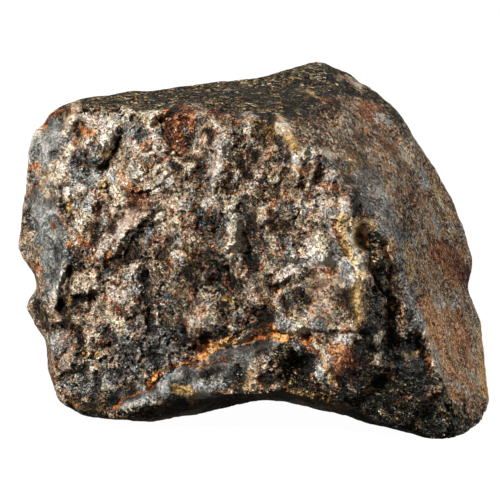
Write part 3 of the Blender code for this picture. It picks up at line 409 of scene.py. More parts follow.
# Strokes that only darken or lighten: how much lighter, half width, line. They paint the rock's own
# light and dark patches, and also painted shade where shadows fall and painted light where slopes catch the
# light.
SHADE_STROKES = [
    (-0.42, 1.25, -47.5, -10, -48.8, -12.5, -49, -15.2), (-0.4, 0.55, -27, -30.5, -27, -33.5),
    (-0.4, 1.12, -47.5, -13, -44.5, -11.8, -41.5, -10.8, -39, -10.2), (-0.4, 1.25, -21, -36.5, -18.5, -37),
    (-0.38, 0.88, -44.8, -3.5, -46.8, -5.2, -47.5, -8.2),
    (-0.38, 1.12, -26.2, 8.8, -29, 6, -31.8, 3.8, -33, 0.5), (-0.38, 1.5, -47.5, -15.2, -47, -19),
    (-0.36, 0.65, -34.8, 27, -35.5, 23.8, -37.8, 21), (-0.36, 0.75, -40.5, -23.2, -37, -23.2, -35.5, -22.2),
    (-0.36, 1, 16, 21, 15.2, 17.8), (-0.36, 1.38, -17.5, -2.5, -16.5, -6.2),
    (-0.35, 0.4, 14.8, -19.8, 21, -20, 26, -19.8), (-0.35, 1, -44.2, -19.5, -44, -24, -45, -28.8),
    (-0.35, 1, -47.5, -30.5, -46.5, -32), (-0.35, 1, -14.5, -24, -12.5, -21.5, -8.5, -20.2),
    (-0.35, 1, -7.5, -39, -5, -38.5), (-0.35, 1.25, -39.5, -33, -39.8, -37.5),
    (-0.35, 2, 13, -27.5, 12.5, -32.5, 16.5, -34), (-0.34, 1, -16.8, 28.5, -17, 25.5),
    (-0.34, 1, -4.8, -28.5, -3.8, -32.5, -4.2, -35.5), (-0.33, 1.12, 7, -12, 7.8, -15.2),
    (-0.32, 0.75, 22.2, 17.5, 23.5, 17.8), (-0.3, 0.75, -48.5, 12.5, -47.8, 10),
    (-0.3, 0.88, -12, 30.8, -11.2, 28.8), (-0.3, 1, 9.5, -19.8, 12.5, -20.5), (-0.3, 1, -49, 26, -48.5, 24),
    (-0.3, 1.25, -45.8, 0.5, -44, -1.8), (-0.3, 1.25, -7.5, -13.5, -8.5, -18.5),
    (-0.3, 1.25, -42.8, -40.5, -37.8, -41.5), (-0.3, 1.25, 23.2, -8, 24.2, -13.2),
    (-0.3, 1.25, -24, 35.5, -19.5, 34.8), (-0.3, 1.25, -48.2, 16, -46.8, 16.2),
    (-0.3, 1.5, 26, -40, 36, -44.5, 46, -46, 54.8, -43.2, 57.5, -38.2), (-0.3, 1.5, -45, -22, -43.5, -25),
    (-0.3, 1.5, -22.8, -32, -20.2, -34, -18.5, -36), (-0.3, 1.5, 12.8, 15.5, 14.2, 14.8),
    (-0.3, 1.75, -36, -3.8, -32.8, -2.5, -29.8, 0.5), (-0.3, 1.75, -10.8, 29.2, -10, 27),
    (-0.3, 1.75, -35.2, -37, -30.8, -35.5), (-0.3, 2, -1.5, -2.5, 1.5, -6),
    (-0.3, 2, 2.5, -16.5, 1.5, -20.8, 1.5, -26), (-0.3, 2.25, 8.5, 35, 14.8, 33.5, 19.8, 36),
    (-0.28, 0.75, -57.5, 9, -56.5, 10.5), (-0.28, 0.75, 40.8, -11.8, 43.5, -10),
    (-0.28, 0.75, -5, -20.2, -2, -19.5, 0, -18.2), (-0.28, 0.85, -18, -22.5, -15, -21.2, -12.5, -20.2),
    (-0.28, 1.25, -28.2, -2.5, -27.5, -8.2, -27, -14.5, -26, -18.5),
    (-0.28, 1.75, 0.5, -14.5, 2.5, -12.5, 4, -16.2), (-0.28, 2.25, -22.8, -16.5, -19.5, -17.5),
    (-0.28, 3.25, -16.5, -2.5, -17, -7.5, -18.5, -12), (-0.26, 0.75, 3.2, -0.8, 4, -1.8),
    (-0.26, 1, -26.5, 10.2, -25.8, 7.5), (-0.26, 1, 7.5, -8.2, 10, -7.5, 13, -5),
    (-0.26, 1.12, -14.5, 15, -14.8, 11.5, -15, 8.8), (-0.26, 1.12, 1.5, 5.5, 4.8, 6.5, 8.5, 7),
    (-0.26, 1.25, -4, 28, -4.8, 25, -4, 21.8), (-0.25, 0.75, -39.5, -4, -39.2, -6.8),
    (-0.25, 0.88, -38.5, 21.5, -37.8, 22.2), (-0.25, 1, -12.2, 30, -11.5, 27.5),
    (-0.25, 1, 16, 47.5, 21, 46.5), (-0.25, 1, -56.5, -16, -55, -19), (-0.25, 1, -39.2, 20.5, -38.2, 19.2),
    (-0.25, 1, 26.8, -5, 27.8, -6.5), (-0.25, 1.25, -17, 22.5, -15.8, 23.5),
    (-0.25, 1.25, -23.2, 0.5, -22.5, -2.5), (-0.25, 1.25, 12.8, 15.5, 14, 15),
    (-0.25, 1.25, -6.2, 13.5, -5.8, 12), (-0.25, 1.25, 2.2, 26.8, 0.2, 23.8, -2, 18.5),
    (-0.25, 1.25, -25.2, -4, -25, -12), (-0.25, 1.25, 53.5, -2.5, 54, -9.5),
    (-0.25, 1.25, 5.5, 27.8, 7.2, 29.2), (-0.25, 1.25, -38.2, 21.8, -36.8, 17.2),
    (-0.25, 1.25, -17.2, -30.5, -20.2, -33.5), (-0.25, 1.25, 4.2, -33.2, 6.2, -31.5),
    (-0.25, 1.25, 0.5, 13.5, -0.2, 9.2), (-0.25, 1.25, 3.5, 4.8, 6.8, 6),
    (-0.25, 1.25, -25.2, -29, -26, -33.5), (-0.25, 1.5, -29, 5, -30.5, 1.5),
    (-0.25, 1.5, -54.5, -12.5, -51.5, -19.5), (-0.25, 1.5, 2.8, -17, 3.2, -19.5),
    (-0.25, 1.5, -34, 8, -36.5, 5.5), (-0.25, 1.5, -44.5, -36.5, -41.5, -37.5),
    (-0.25, 1.5, -0.5, 7.5, 1.5, 2), (-0.25, 1.5, 14, -28, 13.5, -33.5),
    (-0.25, 1.5, -13.2, -32, -17, -33.5), (-0.25, 1.75, 11, -11.5, 13.5, -14.5),
    (-0.25, 2.25, 37.2, -24.5, 40, -31.5), (-0.25, 3, 16, 36.8, 22.2, 40, 19.8, 43.5),
    (-0.24, 1, -2.5, 22.5, -2.8, 19.2), (-0.24, 1.5, -12.5, 9.5, -10.5, 7, -8.5, 8),
    (-0.22, 0.5, 47.5, 3, 49.5, 4, 51.2, 5), (-0.22, 0.75, -32, 12, -30.8, 11.2),
    (-0.22, 1, -21.2, 27.5, -21.8, 25), (-0.22, 1.25, -25.2, -26.8, -23.5, -28.5),
    (-0.22, 2, -18.5, -22, -15, -20.5), (-0.2, 0.55, -57, 22.8, -57, 21.2),
    (-0.2, 0.75, -22.5, 15, -21.2, 13.8), (-0.2, 0.88, 3, 10.5, 4, 9), (-0.2, 1, -51, 24, -49, 25),
    (-0.2, 1, -26.8, -25, -25.8, -24.2), (-0.2, 1, -7.5, -4, -6, -8), (-0.2, 1, -50.5, -5, -49.2, -7),
    (-0.2, 1.25, -13, 25, -14, 21.8, -14.5, 18.5), (-0.2, 1.25, -3, 17.5, -1.5, 21.8, -1, 25.5),
    (-0.2, 1.25, -17.5, 22.2, -15.5, 23.5), (-0.2, 1.25, -46.5, 35, -44, 35, -44.5, 31, -46, 28),
    (-0.2, 1.25, 11, 2.5, 12.2, 4.5), (-0.2, 1.25, -49, 31.5, -47.5, 35), (-0.2, 1.25, -21, 3, -22.8, -1),
    (-0.2, 1.25, -53.5, 35, -52, 35.5), (-0.2, 1.25, -3.8, 24.2, -2.5, 19),
    (-0.2, 1.25, 0.5, 23, 1.5, 19.2), (-0.2, 1.25, 5.2, 23, 6.8, 20.5), (-0.2, 1.25, 2, -17, 3, -20.5),
    (-0.2, 1.5, -34, -31.5, -31.5, -33.5), (-0.2, 1.5, 36.5, 11.8, 38, 8, 37.5, 4.5),
    (-0.2, 1.5, -52.5, 35, -51.5, 33), (-0.2, 1.5, -44, 32.5, -43.5, 29.5), (-0.2, 1.5, -46, -12, -44, -15),
    (-0.2, 1.5, -39, 7.5, -39.5, 4), (-0.2, 1.5, 7.2, 4, 10, 7.5, 12, 10.5), (-0.2, 1.5, 5, 9.2, 6.8, 10),
    (-0.2, 1.5, 1.5, 32, 6, 33.5), (-0.2, 1.5, 11, 29.2, 13.5, 26.8), (-0.2, 1.5, 22.2, 18, 23, 11.8),
    (-0.2, 1.5, -27, -26.2, -24.5, -27.5), (-0.2, 1.5, 22.5, -4.5, 22.5, -9.5),
    (-0.2, 1.5, -12.8, 1.8, -11.5, -1), (-0.2, 1.5, -10.2, -7.5, -7, -9.5), (-0.2, 1.5, 3, -7, 5, -10.8),
    (-0.2, 1.5, -18.5, 23, -19.5, 16.8), (-0.2, 1.5, -34, -2.5, -30.2, -1.5),
    (-0.2, 1.5, -0.2, -32.8, 4.8, -32), (-0.2, 1.5, 41.5, -35, 43, -36.5),
    (-0.2, 1.75, -54.5, -14, -52, -18.2, -49.5, -19), (-0.2, 1.75, -41, -40, -38.5, -37.5, -35, -35.8),
    (-0.2, 1.75, 1.5, -32.5, 4.8, -31.5), (-0.2, 1.75, -11, 33.8, -4, 33.5),
    (-0.2, 1.75, 36.5, -12, 38, -15.8), (-0.2, 1.75, -11, -31, -5.2, -30),
    (-0.2, 1.75, -15.2, -15.2, -13.8, -13.2), (-0.2, 1.75, 24.8, -28.2, 28, -27.5),
    (-0.2, 1.75, -15.2, -8.5, -5.2, -8), (-0.2, 1.75, 11, -10.5, 14.8, -12),
    (-0.2, 2, -49, 1.8, -47.5, -2.5, -44.5, -4), (-0.2, 2, -10.2, -0.8, -8.5, -4),
    (-0.2, 2, -4, -7.5, -1.5, -3.5), (-0.2, 2, 22.2, -12, 27.2, -17), (-0.2, 2, 24.8, -29.5, 26, -25.5),
    (-0.2, 2.25, 24.8, -24, 29, -27.5), (-0.2, 2.5, -16.5, -29.5, -10.2, -30, -4, -28.5),
    (-0.18, 0.75, -30.5, 35.5, -29.8, 33), (-0.18, 0.75, 19, 14.8, 21.5, 13.8),
    (-0.18, 1, -33.5, -23.5, -32.8, -25.5), (-0.18, 1.5, -46.5, -37.5, -41.5, -40),
    (-0.17, 1, 10, -10, 13.5, -12), (-0.16, 0.55, 43.5, 3.5, 45.5, 2.2, 47.5, 3),
    (-0.16, 0.75, -52.5, 5, -52.2, 2.8), (-0.16, 0.75, -37.2, -26.2, -36.8, -28),
    (-0.16, 0.75, 26.5, 30, 28.5, 28), (-0.16, 1, -51.5, 12, -49.8, 13.2),
    (-0.15, 0.75, -29.5, 17, -28.2, 15.5), (-0.15, 0.75, -40, 10.5, -39, 9.5),
    (-0.15, 0.75, -37.8, 11.5, -35.2, 10.8), (-0.15, 0.75, -49.8, -25.5, -50, -27),
    (-0.15, 0.75, 20.5, -11, 23.5, -11.5), (-0.15, 0.88, 13.2, 8, 15, 7),
    (-0.15, 1, 26.5, 23.5, 27.5, 21.8), (-0.15, 1.25, -51.5, 28, -50.2, 21),
    (-0.15, 1.75, 36, -12.5, 38, -17), (-0.15, 1.75, -7.8, 32.5, -2.8, 32),
    (-0.15, 2, 50.5, -2.5, 52.5, -7), (-0.15, 2, 13.5, 32.5, 18.5, 35),
    (-0.15, 2.25, 8.5, -12, 13.5, -13.2), (-0.14, 0.55, 40, 23.5, 39, 20.5, 40, 15.5),
    (-0.14, 0.55, 34, 35, 36.5, 31, 39, 26.5), (-0.14, 0.75, -39.8, -18.5, -38.2, -19.5),
    (-0.12, 0.75, -15, -30.8, -10, -29.8), (-0.12, 1, -55, 0.5, -51.5, 1.5),
    (-0.12, 1, 14.5, 27.8, 17.5, 27.2, 21, 25.8), (-0.1, 1, 29.5, 13.5, 30.8, 12),
    (-0.1, 1.5, -55, 15, -53.5, 13), (-0.07, 6.5, -14, 6.8, -7.8, -4.5, -4, -12),
    (-0.06, 2, 27.5, 8.5, 30, 6.5), (-0.06, 5, 21.5, 29, 29, 26.5, 34, 23),
    (-0.05, 2.5, 30.5, -4.5, 32, -14.5), (-0.05, 3, -14, 39.5, -1.5, 38.5, 7.2, 38),
    (-0.05, 3.5, 11, 39, 16, 41.5, 18, 35.5), (-0.03, 2.25, -9.8, 29.2, -9.8, 13),
    (-0.03, 2.5, 16, -5, 16, -15), (-0.03, 2.5, -53.5, 29.2, -53.5, 24.2),
    (-0.03, 3, -47, 33.5, -47.5, 25.5), (0.04, 2.5, -24, -36, -14, -33.5), (0.05, 2, 8, -26, 11, -32),
    (0.05, 2, -52.5, 9.2, -52, 0.5), (0.05, 2, 54.8, -17, 55.5, -33.2), (0.05, 2.5, -53, 11.8, -52.5, 0.5),
    (0.05, 3, -41.5, 15.5, -43, 4), (0.05, 3.5, -14, 3, -4, -7, -16.5, -9.5),
    (0.06, 1.25, 17.5, -4.5, 18.5, -8), (0.06, 1.75, 55.5, -12, 56.5, -32),
    (0.06, 7.5, 43.5, 23, 48.5, 0.5, 51.5, -22, 52.2, -37), (0.07, 2.5, -41.5, -14, -37, -17.5, -33.5, -21),
    (0.07, 3, -20.5, 34, -18, 29.5, -15, 26), (0.08, 1.25, 16, 3.5, 16.2, -0.5),
    (0.08, 1.5, -41, 37.2, -30.2, 37.8, -19.5, 38), (0.08, 2.25, -46, -33, -39, -34, -30.5, -34.5),
    (0.08, 3, 30, -2.5, 31, -9.5, 32.5, -16), (0.08, 3, -16.5, -33.2, -4, -29.5, 1.5, -33.2),
    (0.08, 4.5, 30.5, 11.8, 34, 6.8), (0.1, 1.25, 25, 6.5, 26.2, 2.5),
    (0.1, 2.25, 7, -26, 10, -30, 12, -34), (0.12, 3, 43.5, 15.5, 46, 9.2, 49, 5),
    (0.14, 0.6, 30.5, 16, 34, 13.5), (0.14, 0.88, -6, 11, -6, 2), (0.14, 1.5, 23.2, 7, 24, 1.5),
    (0.15, 2, 46, -18.2, 48.5, -22), (0.16, 0.5, -20, -21.5, -21, -23.2),
    (0.2, 0.5, -32, -30, -30.8, -29.5), (0.2, 0.62, -45.2, -21.5, -45.8, -24), (0.2, 1, -43, 27, -42, 26.5),
    (0.2, 1, -1, 23.5, -0.8, 20), (0.2, 1, 23.5, -22, 25, -20.8), (0.2, 1.25, 6, 11, 7.5, 9),
    (0.2, 1.25, 10.5, 12.2, 11.8, 11), (0.2, 1.25, -19, -1, -18, -3),
    (0.2, 1.25, -40.8, -8.8, -39.5, -10.2), (0.2, 1.25, -55.2, 30.5, -55, 28),
    (0.2, 1.25, -24.5, 34, -23.2, 34.8), (0.2, 1.25, -37.8, 28, -36.2, 31.8),
    (0.2, 1.25, 29, -34, 30.5, -32.8), (0.2, 1.25, 24.8, -6.5, 25, -9.5),
    (0.2, 1.25, -41, -20.5, -40.8, -24.5), (0.2, 1.25, -54.5, 31.8, -55.2, 27.5),
    (0.2, 1.25, -32.8, 9.5, -33.5, 4.2), (0.2, 1.5, -35.2, 12, -38, 9), (0.2, 1.5, 17.5, -0.5, 18.2, -3),
    (0.2, 1.5, 9.2, -19.8, 11.5, -20.8), (0.2, 1.5, 18.2, -24.5, 21.5, -23),
    (0.2, 1.5, -49, 25.5, -46.5, 20.5), (0.2, 1.5, -32.8, 18.5, -31.8, 17),
    (0.2, 1.5, -42.5, 9.5, -44, 6.8), (0.2, 1.5, 6.5, -19.8, 11, -20.8), (0.2, 1.5, -57, 21.8, -57.5, 18),
    (0.2, 1.5, -26, 35, -24, 34.5), (0.2, 1.5, -45, 11, -43.5, 8.5), (0.2, 1.5, -41.5, -9, -39, -10.5),
    (0.2, 1.5, -23.5, -33.2, -19.5, -30), (0.2, 1.75, 16, -1.5, 18, -2.5),
    (0.2, 1.75, -47, 25.5, -49, 22.5, -47.5, 16.8), (0.2, 1.75, -39, 33.5, -36.5, 30.5),
    (0.2, 1.75, -42.5, -25, -43, -29), (0.2, 1.75, 22, -16.5, 21.5, -20.8), (0.2, 2, 48, -37.5, 49.5, -35),
    (0.2, 2, -20, -36, -14, -34, -10.2, -33), (0.2, 2, 42.2, -15, 44, -22),
    (0.22, 0.62, 40.5, -40, 42.5, -39), (0.25, 1, -7.8, -23.2, -1.5, -21.5),
    (0.25, 1.25, -7, -2.5, -5.8, -0.5), (0.25, 1.25, 17, -25.8, 17.8, -28.2), (0.25, 1.25, 1.5, 6, 4, 7.8),
    (0.25, 1.25, -24.5, 16.5, -22, 18), (0.25, 1.25, 21.8, 7.8, 23, 4.8), (0.25, 1.25, -39, 18, -37.8, 15),
    (0.25, 1.25, -44.5, 35, -45.2, 31, -46, 27.5), (0.25, 1.25, -45.2, 16.8, -46.8, 14),
    (0.25, 1.25, -32.5, 1.5, -33.5, 4.2), (0.25, 1.25, -4, 5.5, -3.8, 1.5),
    (0.25, 1.25, 17.5, -2.5, 19.5, -2.5), (0.25, 1.25, -8.2, 26.5, -7, 25.5),
    (0.25, 1.25, 12.5, 23, 13.2, 24), (0.25, 1.25, 10.5, -2, 12, -3), (0.25, 1.25, 33.5, -2, 34.2, -6.2),
    (0.25, 1.25, 18.2, -27.5, 20, -33.5), (0.25, 1.25, -21, -26, -24, -33.2),
    (0.25, 1.25, -42, -27.5, -41.5, -29.5), (0.25, 1.25, -37.8, 25, -36, 28),
    (0.25, 1.25, -18, 11, -17.5, 8), (0.25, 1.25, 24.2, -2.5, 25.5, -4), (0.25, 1.5, -16, -36.5, -14, -35),
    (0.25, 1.5, -33.5, -39, -26, -37.8), (0.25, 1.5, -15, -36.2, -13.5, -35),
    (0.25, 1.5, -16, -36.5, -14.2, -35), (0.25, 1.5, 19, 19, 16, 15, 16.5, 11),
    (0.25, 1.5, -7.5, 26, -8, 19.2), (0.25, 1.5, -46.5, 36.5, -46.5, 31.8, -47, 26.8),
    (0.25, 1.5, -31.5, 36, -30.5, 31), (0.25, 1.5, -59, 1.8, -58, -1),
    (0.25, 1.5, 6.8, -8.2, 9, -5, 11.5, -1.5), (0.25, 1.5, 22.2, 10, 23.5, 3.5),
    (0.25, 1.5, 26.2, -5, 27, -9.5), (0.25, 1.5, 14, -31.5, 15.5, -33.5), (0.25, 1.75, 11, -1.5, 14, 0.5),
    (0.25, 1.75, 13, 13, 14.5, 17.5, 16, 19), (0.25, 2, 48, -37, 49.5, -39),
    (0.25, 2.25, -39, 20, -34, 16.5, -30, 20), (0.28, 0.75, -38, -32, -36, -33.5),
    (0.3, 0.45, -25, -28.5, -24.2, -27.2), (0.3, 1, -47.5, -2.5, -49, -10), (0.3, 1, 24.2, 5.8, 27.8, 5.2),
    (0.3, 1, 25, 8.2, 27.5, 7.5, 29, 5.5), (0.3, 1, -51.8, 3.5, -51.2, 2),
    (0.3, 1.25, -7, -0.5, -4.5, -1.5), (0.3, 1.25, -17, 21.8, -16.5, 20),
    (0.3, 1.25, -24.5, 8.5, -23.8, 5.5), (0.3, 1.25, 3, -37.5, 11, -38), (0.3, 1.5, 39.5, -17.5, 41, -21),
    (0.3, 1.5, -27.2, 28, -26.5, 25.5), (0.3, 1.5, -30.5, -4, -29.5, -8.2),
    (0.3, 1.5, 20.5, -25, 19.5, -30), (0.3, 1.75, 23.2, 5.5, 24, 3), (0.3, 2, -5, 13, -5, 6.8),
    (0.3, 2, -5.2, 4.2, -4, 1), (0.3, 2.25, -8.5, 27.5, -6, 25.5), (0.3, 2.25, 11, -20, 14, -15),
    (0.35, 1.5, 12, 23.8, 13.5, 25), (0.35, 1.5, -24.5, 16, -22.5, 18.5), (0.35, 1.5, 10.5, 23, 12.5, 25.5),
    (0.35, 1.75, -19.8, -1, -18, -2),
]
# Strokes that say how the ground is: amount, half width, line. Calm ground has little relief and grain,
# level ground little relief.
GROUNDS = {
    "calm": [
        (0.9, 1.75, -11, -27, -5.2, -24.8, 1.5, -23.5, 5, -24.2), (0.9, 2, -16, -34.5, -11, -33, -5, -30.5),
        (0.7, 2, 22.2, 12.5, 23.5, 3, 25.2, -4.5, 25.5, -14.5),
        (0.7, 1.5, -8.5, 30, -9.5, 25.5, -10.5, 18.5), (0.8, 1.5, -35.2, 15.5, -33.8, 13),
        (0.6, 2, -49, 21.8, -51.5, 17.5), (0.8, 1.5, -30.5, 10.2, -34.5, 5),
        (0.6, 2.5, 22.2, -23.2, 22.2, -28.2), (0.8, 2, 6, 32.5, 8.5, 26.8, 10.2, 21.8),
        (0.85, 3.5, -52.8, 31, -53.5, 26.8, -52.5, 22.5),
        (0.8, 3.5, -54, 14.2, -52, 8, -51.5, 1.8, -51.5, -7), (0.6, 2.5, -46, 35, -47.5, 28, -49.5, 21.8),
        (0.85, 3.5, -34, -39.5, -22.8, -35.2, -14, -32.2, -2.8, -28.5),
        (0.6, 3, -24, -38.2, -9, -36.2, 3.5, -33.2), (1, 3, 16, -4.5, 16.5, -16.5),
        (0.7, 2.25, 20.2, 4.2, 21, -9.5), (0.7, 3.5, 19.8, -23.2, 23.5, -30),
        (0.5, 3, -49, -22, -46, -27.5), (0.5, 3.5, -19, -12, -12.8, -18.2),
    ],
    "level": [
        (0.85, 4, 29, 1.8, 31, -7, 33, -17), (0.8, 6.5, 26, -24.5, 33.5, -28.2, 39.8, -37),
        (0.8, 4.5, 22.2, -34.5, 31, -39, 43.5, -44), (0.8, 5, 29, 13, 36, 3, 41, -12),
    ],
    "pebbly": [
        (1, 5, -40.2, -24.5, -36.5, -29.5, -26.5, -27, -20.2, -24.5),
        (0.8, 3, -45.2, -29.5, -40.2, -34.5, -32.8, -34),
    ],
    "gloss": [
        (1, 0.88, 22.2, 7.5, 23.2, 4, 24, 0.5), (0.9, 0.75, 24, 8.2, 27.5, 9, 30, 7),
        (1, 0.75, 33.2, 2.2, 34.2, -1), (0.7, 1, 33, -2.5, 34.2, -7),
        (0.6, 1.25, 25, -0.8, 25.5, -9.5, 25.2, -19.5), (0.8, 0.88, 46.2, -10.8, 46.5, -15),
        (0.8, 4.5, 29.8, 13, 34, 7.5, 38, 0.5), (0.6, 6, 43.5, 0.5, 49.8, -19.5, 53, -34.5),
        (0.5, 5, 23.5, 31.8, 33.5, 23, 42.2, 13), (0.5, 2.5, -22.8, -35.8, -14, -32.8, -5.2, -29.5),
        (0.5, 2, -49, -22, -46.5, -27.5), (0.6, 1.25, -38, -22.8, -35.2, -23.5),
    ],
}
KINDS = ("crust", "grey", "brown", "tan", "pink", "cream", "ochre", "rust", "orange")


def ease(x):
    """From 0 to 1 as x goes from 0 to 1, level at both ends."""
    x = np.clip(x, 0.0, 1.0)
    return x * x * (3.0 - 2.0 * x)


def on_sheet(points):
    """Where the eye sees these points on the sheet: an array of across and up."""
    offset = points - SHEET_MIDDLE
    scale = EYE_DISTANCE / (EYE_DISTANCE - offset @ OUTWARD)
    return np.stack((offset[:, 0] * scale, (offset @ UPWARD) * scale), axis=1)


class Chance:
    """Random numbers on a lattice that repeats after SIDE steps, the same on each run."""

    SIDE = 32

    def __init__(self, seed, numbers=1):
        source = np.random.default_rng(seed)
        self.table = source.uniform(-1.0, 1.0, (self.SIDE ** 3, numbers))

    def at(self, cells):
        cells = np.mod(cells, self.SIDE).astype(np.int64)
        return self.table[(cells[:, 0] * self.SIDE + cells[:, 1]) * self.SIDE + cells[:, 2]]


CORNERS = [np.array((i, j, k)) for i in (0, 1) for j in (0, 1) for k in (0, 1)]
AROUND = [np.array((i, j, k)) for i in (-1, 0, 1) for j in (-1, 0, 1) for k in (-1, 0, 1)]


def waves(points, size, seed):
    """Smooth noise from -1 to 1 with swells of this size, one number per point."""
    chance = Chance(seed)
    places = points / size
    cells = np.floor(places)
    part = ease(places - cells)
    total = np.zeros(len(points))
    for corner in CORNERS:
        weight = np.prod(np.where(corner, part, 1.0 - part), axis=1)
        total += weight * chance.at(cells + corner)[:, 0]
    return total


def rough_waves(points, size, seed, layers=3):
    """Noise of several sizes, each half as wide and as high as the one before."""
    return sum(waves(points, size / 2 ** i, seed + 17 * i) / 2 ** i for i in range(layers))


def bent(points, size, reach, seed):
    """The points, moved about by noise, so that what is laid out on them has wavering borders."""
    moves = []
    for i in range(3):
        own_seed = seed + 3 * i
        moves.append(waves(points, size, own_seed) + 0.5 * waves(points, size / 2.3, own_seed + 1))
    return points + reach * np.stack(moves, axis=1)


def chips(points, size, tilt, step, bend_size, bend_reach, bend_seed, seed):
    """The height of flat chips of random tilt, each the ground nearest to its own centre."""
    chance = Chance(seed, 7)
    places = bent(points, bend_size, bend_reach, bend_seed) / size
    cells = np.floor(places)
    nearest = np.full(len(points), np.inf)
    height = np.zeros(len(points))
    for around in AROUND:
        numbers = chance.at(cells + around)
        offset = places - (cells + around + 0.5 + 0.45 * numbers[:, :3])
        distance = np.einsum("ij,ij->i", offset, offset)
        closer = distance < nearest
        nearest = np.where(closer, distance, nearest)
        own = size * tilt * np.einsum("ij,ij->i", offset, numbers[:, 3:6]) + step * numbers[:, 6]
        height = np.where(closer, own, height)
    return height


def distance_to(line, spots):
    """How far each spot on the sheet is from a line."""
    corners = np.reshape(line, (-1, 2))
    nearest = np.full(len(spots), np.inf)
    for start, end in zip(corners, corners[1:]):
        way = end - start
        part = np.clip((spots - start) @ way / (way @ way), 0.0, 1.0)
        nearest = np.minimum(nearest, np.linalg.norm(spots - (start + part[:, None] * way), axis=1))
    return nearest


def drawn_relief(spots):
    """How far the ground at these spots stands out, by the tables of ridges, valleys, lumps and pits."""
    height = np.zeros(len(spots))
    for across, up, radius_across, radius_up, rise in LUMPS:
        distance = np.hypot((spots[:, 0] - across) / radius_across, (spots[:, 1] - up) / radius_up)
        height += (LUMP_SHARE if rise > 0 else PIT_SHARE) * rise * ease((1.4 - distance) / 0.9)
    for lines, share in ((RIDGES, RIDGE_SHARE), (VALLEYS, -VALLEY_SHARE)):
        for half_width, rise, *line in lines:
            height += share * rise * ease(1.5 - distance_to(line, spots) / half_width)
    return height


def alone(obj):
    """Makes this the one selected and active object."""
    bpy.ops.object.select_all(action="DESELECT")
    obj.select_set(True)
    bpy.context.view_layer.objects.active = obj


def apply_modifier(obj, name, kind, **settings):
    modifier = obj.modifiers.new(name, kind)
    for setting, value in settings.items():
        setattr(modifier, setting, value)
    alone(obj)
    bpy.ops.object.modifier_apply(modifier=name)


def points_and_normals(mesh):
    points = np.empty(len(mesh.vertices) * 3)
    mesh.vertices.foreach_get("co", points)
    normals = np.empty(len(mesh.vertices) * 3)
    mesh.vertices.foreach_get("normal", normals)
    return points.reshape(-1, 3) / MM, normals.reshape(-1, 3)


def set_points(mesh, points):
    mesh.vertices.foreach_set("co", (points * MM).ravel())
    mesh.update()


def fine_net():
    """A copy of the solid on an even net of fine faces."""
    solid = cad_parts["meteorite"]
    skin = bpy.data.objects.new("stone_skin", solid.data.copy())
    bpy.context.scene.collection.objects.link(skin)
    alone(skin)
    bpy.ops.object.mode_set(mode="EDIT")
    bpy.ops.mesh.select_all(action="SELECT")
    bpy.ops.mesh.remove_doubles(threshold=0.01 * MM)
    bpy.ops.object.mode_set(mode="OBJECT")
    apply_modifier(skin, "fine_net", "REMESH", mode="VOXEL", voxel_size=NET * MM)
    apply_modifier(skin, "wear", "SMOOTH", factor=0.5, iterations=NET_WEAR_PASSES)
    return skin


def raise_relief(skin):
    """Raises and sinks the fine skin, most on the broken front and least on the worn faces."""
    points, normals = points_and_normals(skin.data)
    spots = on_sheet(bent(points, 2.5, 0.45, 101))
    facing = normals @ OUTWARD
    depth = hollowness(skin.data, points, normals, WIDE_PASSES)
    points = points + (HOLLOW_FILL * np.maximum(depth, 0.0))[:, None] * normals
    front = ease((facing - 0.2) / 0.25)
    smooth = np.maximum(ground(spots, "calm"), ground(spots, "level"))
    rough = (0.2 + 0.8 * ease((facing - 0.42) / 0.2)) * (1.0 - smooth)
    height = rough * sum(chips(points, *sizes) for sizes in CHIPS)
    height += ground(spots, "pebbly") * chips(points, *PEBBLES)
    height += (0.05 + 0.06 * rough) * rough_waves(points, 2.4, 400)
    points = points + (front * drawn_relief(spots))[:, None] * OUTWARD + height[:, None] * normals
    points[:, 2] = np.maximum(points[:, 2], 0.0)
    set_points(skin.data, points)


def thin_out(skin):
    """Brings the skin down to SKIN_TRIANGLES and shades it smooth between sharp edges."""
    count = sum(len(polygon.vertices) - 2 for polygon in skin.data.polygons)
    if count > SKIN_TRIANGLES:
        share = SKIN_TRIANGLES / count
        apply_modifier(skin, "fewer_faces", "DECIMATE", ratio=share, use_collapse_triangulate=True)
    alone(skin)
    bpy.ops.object.shade_smooth_by_angle(angle=SHARP_EDGE)


def hollowness(mesh, points, normals, passes):
    """How deep each point lies under the ground around it, in millimetres.

    The more passes of smoothing, the wider the ground that it is compared with.
    """
    edges = np.empty(len(mesh.edges) * 2, dtype=np.int64)
    mesh.edges.foreach_get("vertices", edges)
    first, second = edges.reshape(-1, 2).T
    count = np.bincount(np.concatenate((first, second)), minlength=len(points))[:, None]
    smooth = points.copy()
    for _ in range(passes):
        total = np.zeros_like(smooth)
        for axis in range(3):
            total[:, axis] = np.bincount(first, smooth[second, axis], len(points))
            total[:, axis] += np.bincount(second, smooth[first, axis], len(points))
        smooth = 0.5 * smooth + 0.5 * total / count
    return np.einsum("ij,ij->i", smooth - points, normals)


def touched(spots, half_width, line):
    """The spots that a stroke reaches, and how strongly it marks each."""
    corners = np.reshape(line, (-1, 2))
    reach = 1.3 * half_width
    inside = np.all((spots > corners.min(axis=0) - reach) & (spots < corners.max(axis=0) + reach), axis=1)
    near = np.flatnonzero(inside)
    return near, ease((1.3 - distance_to(line, spots[near]) / half_width) / 0.6)


def ground(spots, name):
    """How strongly the ground is of this sort at these spots on the sheet."""
    strongest = np.zeros(len(spots))
    for amount, half_width, *line in GROUNDS[name]:
        near, weight = touched(spots, half_width, line)
        strongest[near] = np.maximum(strongest[near], amount * weight)
    return strongest


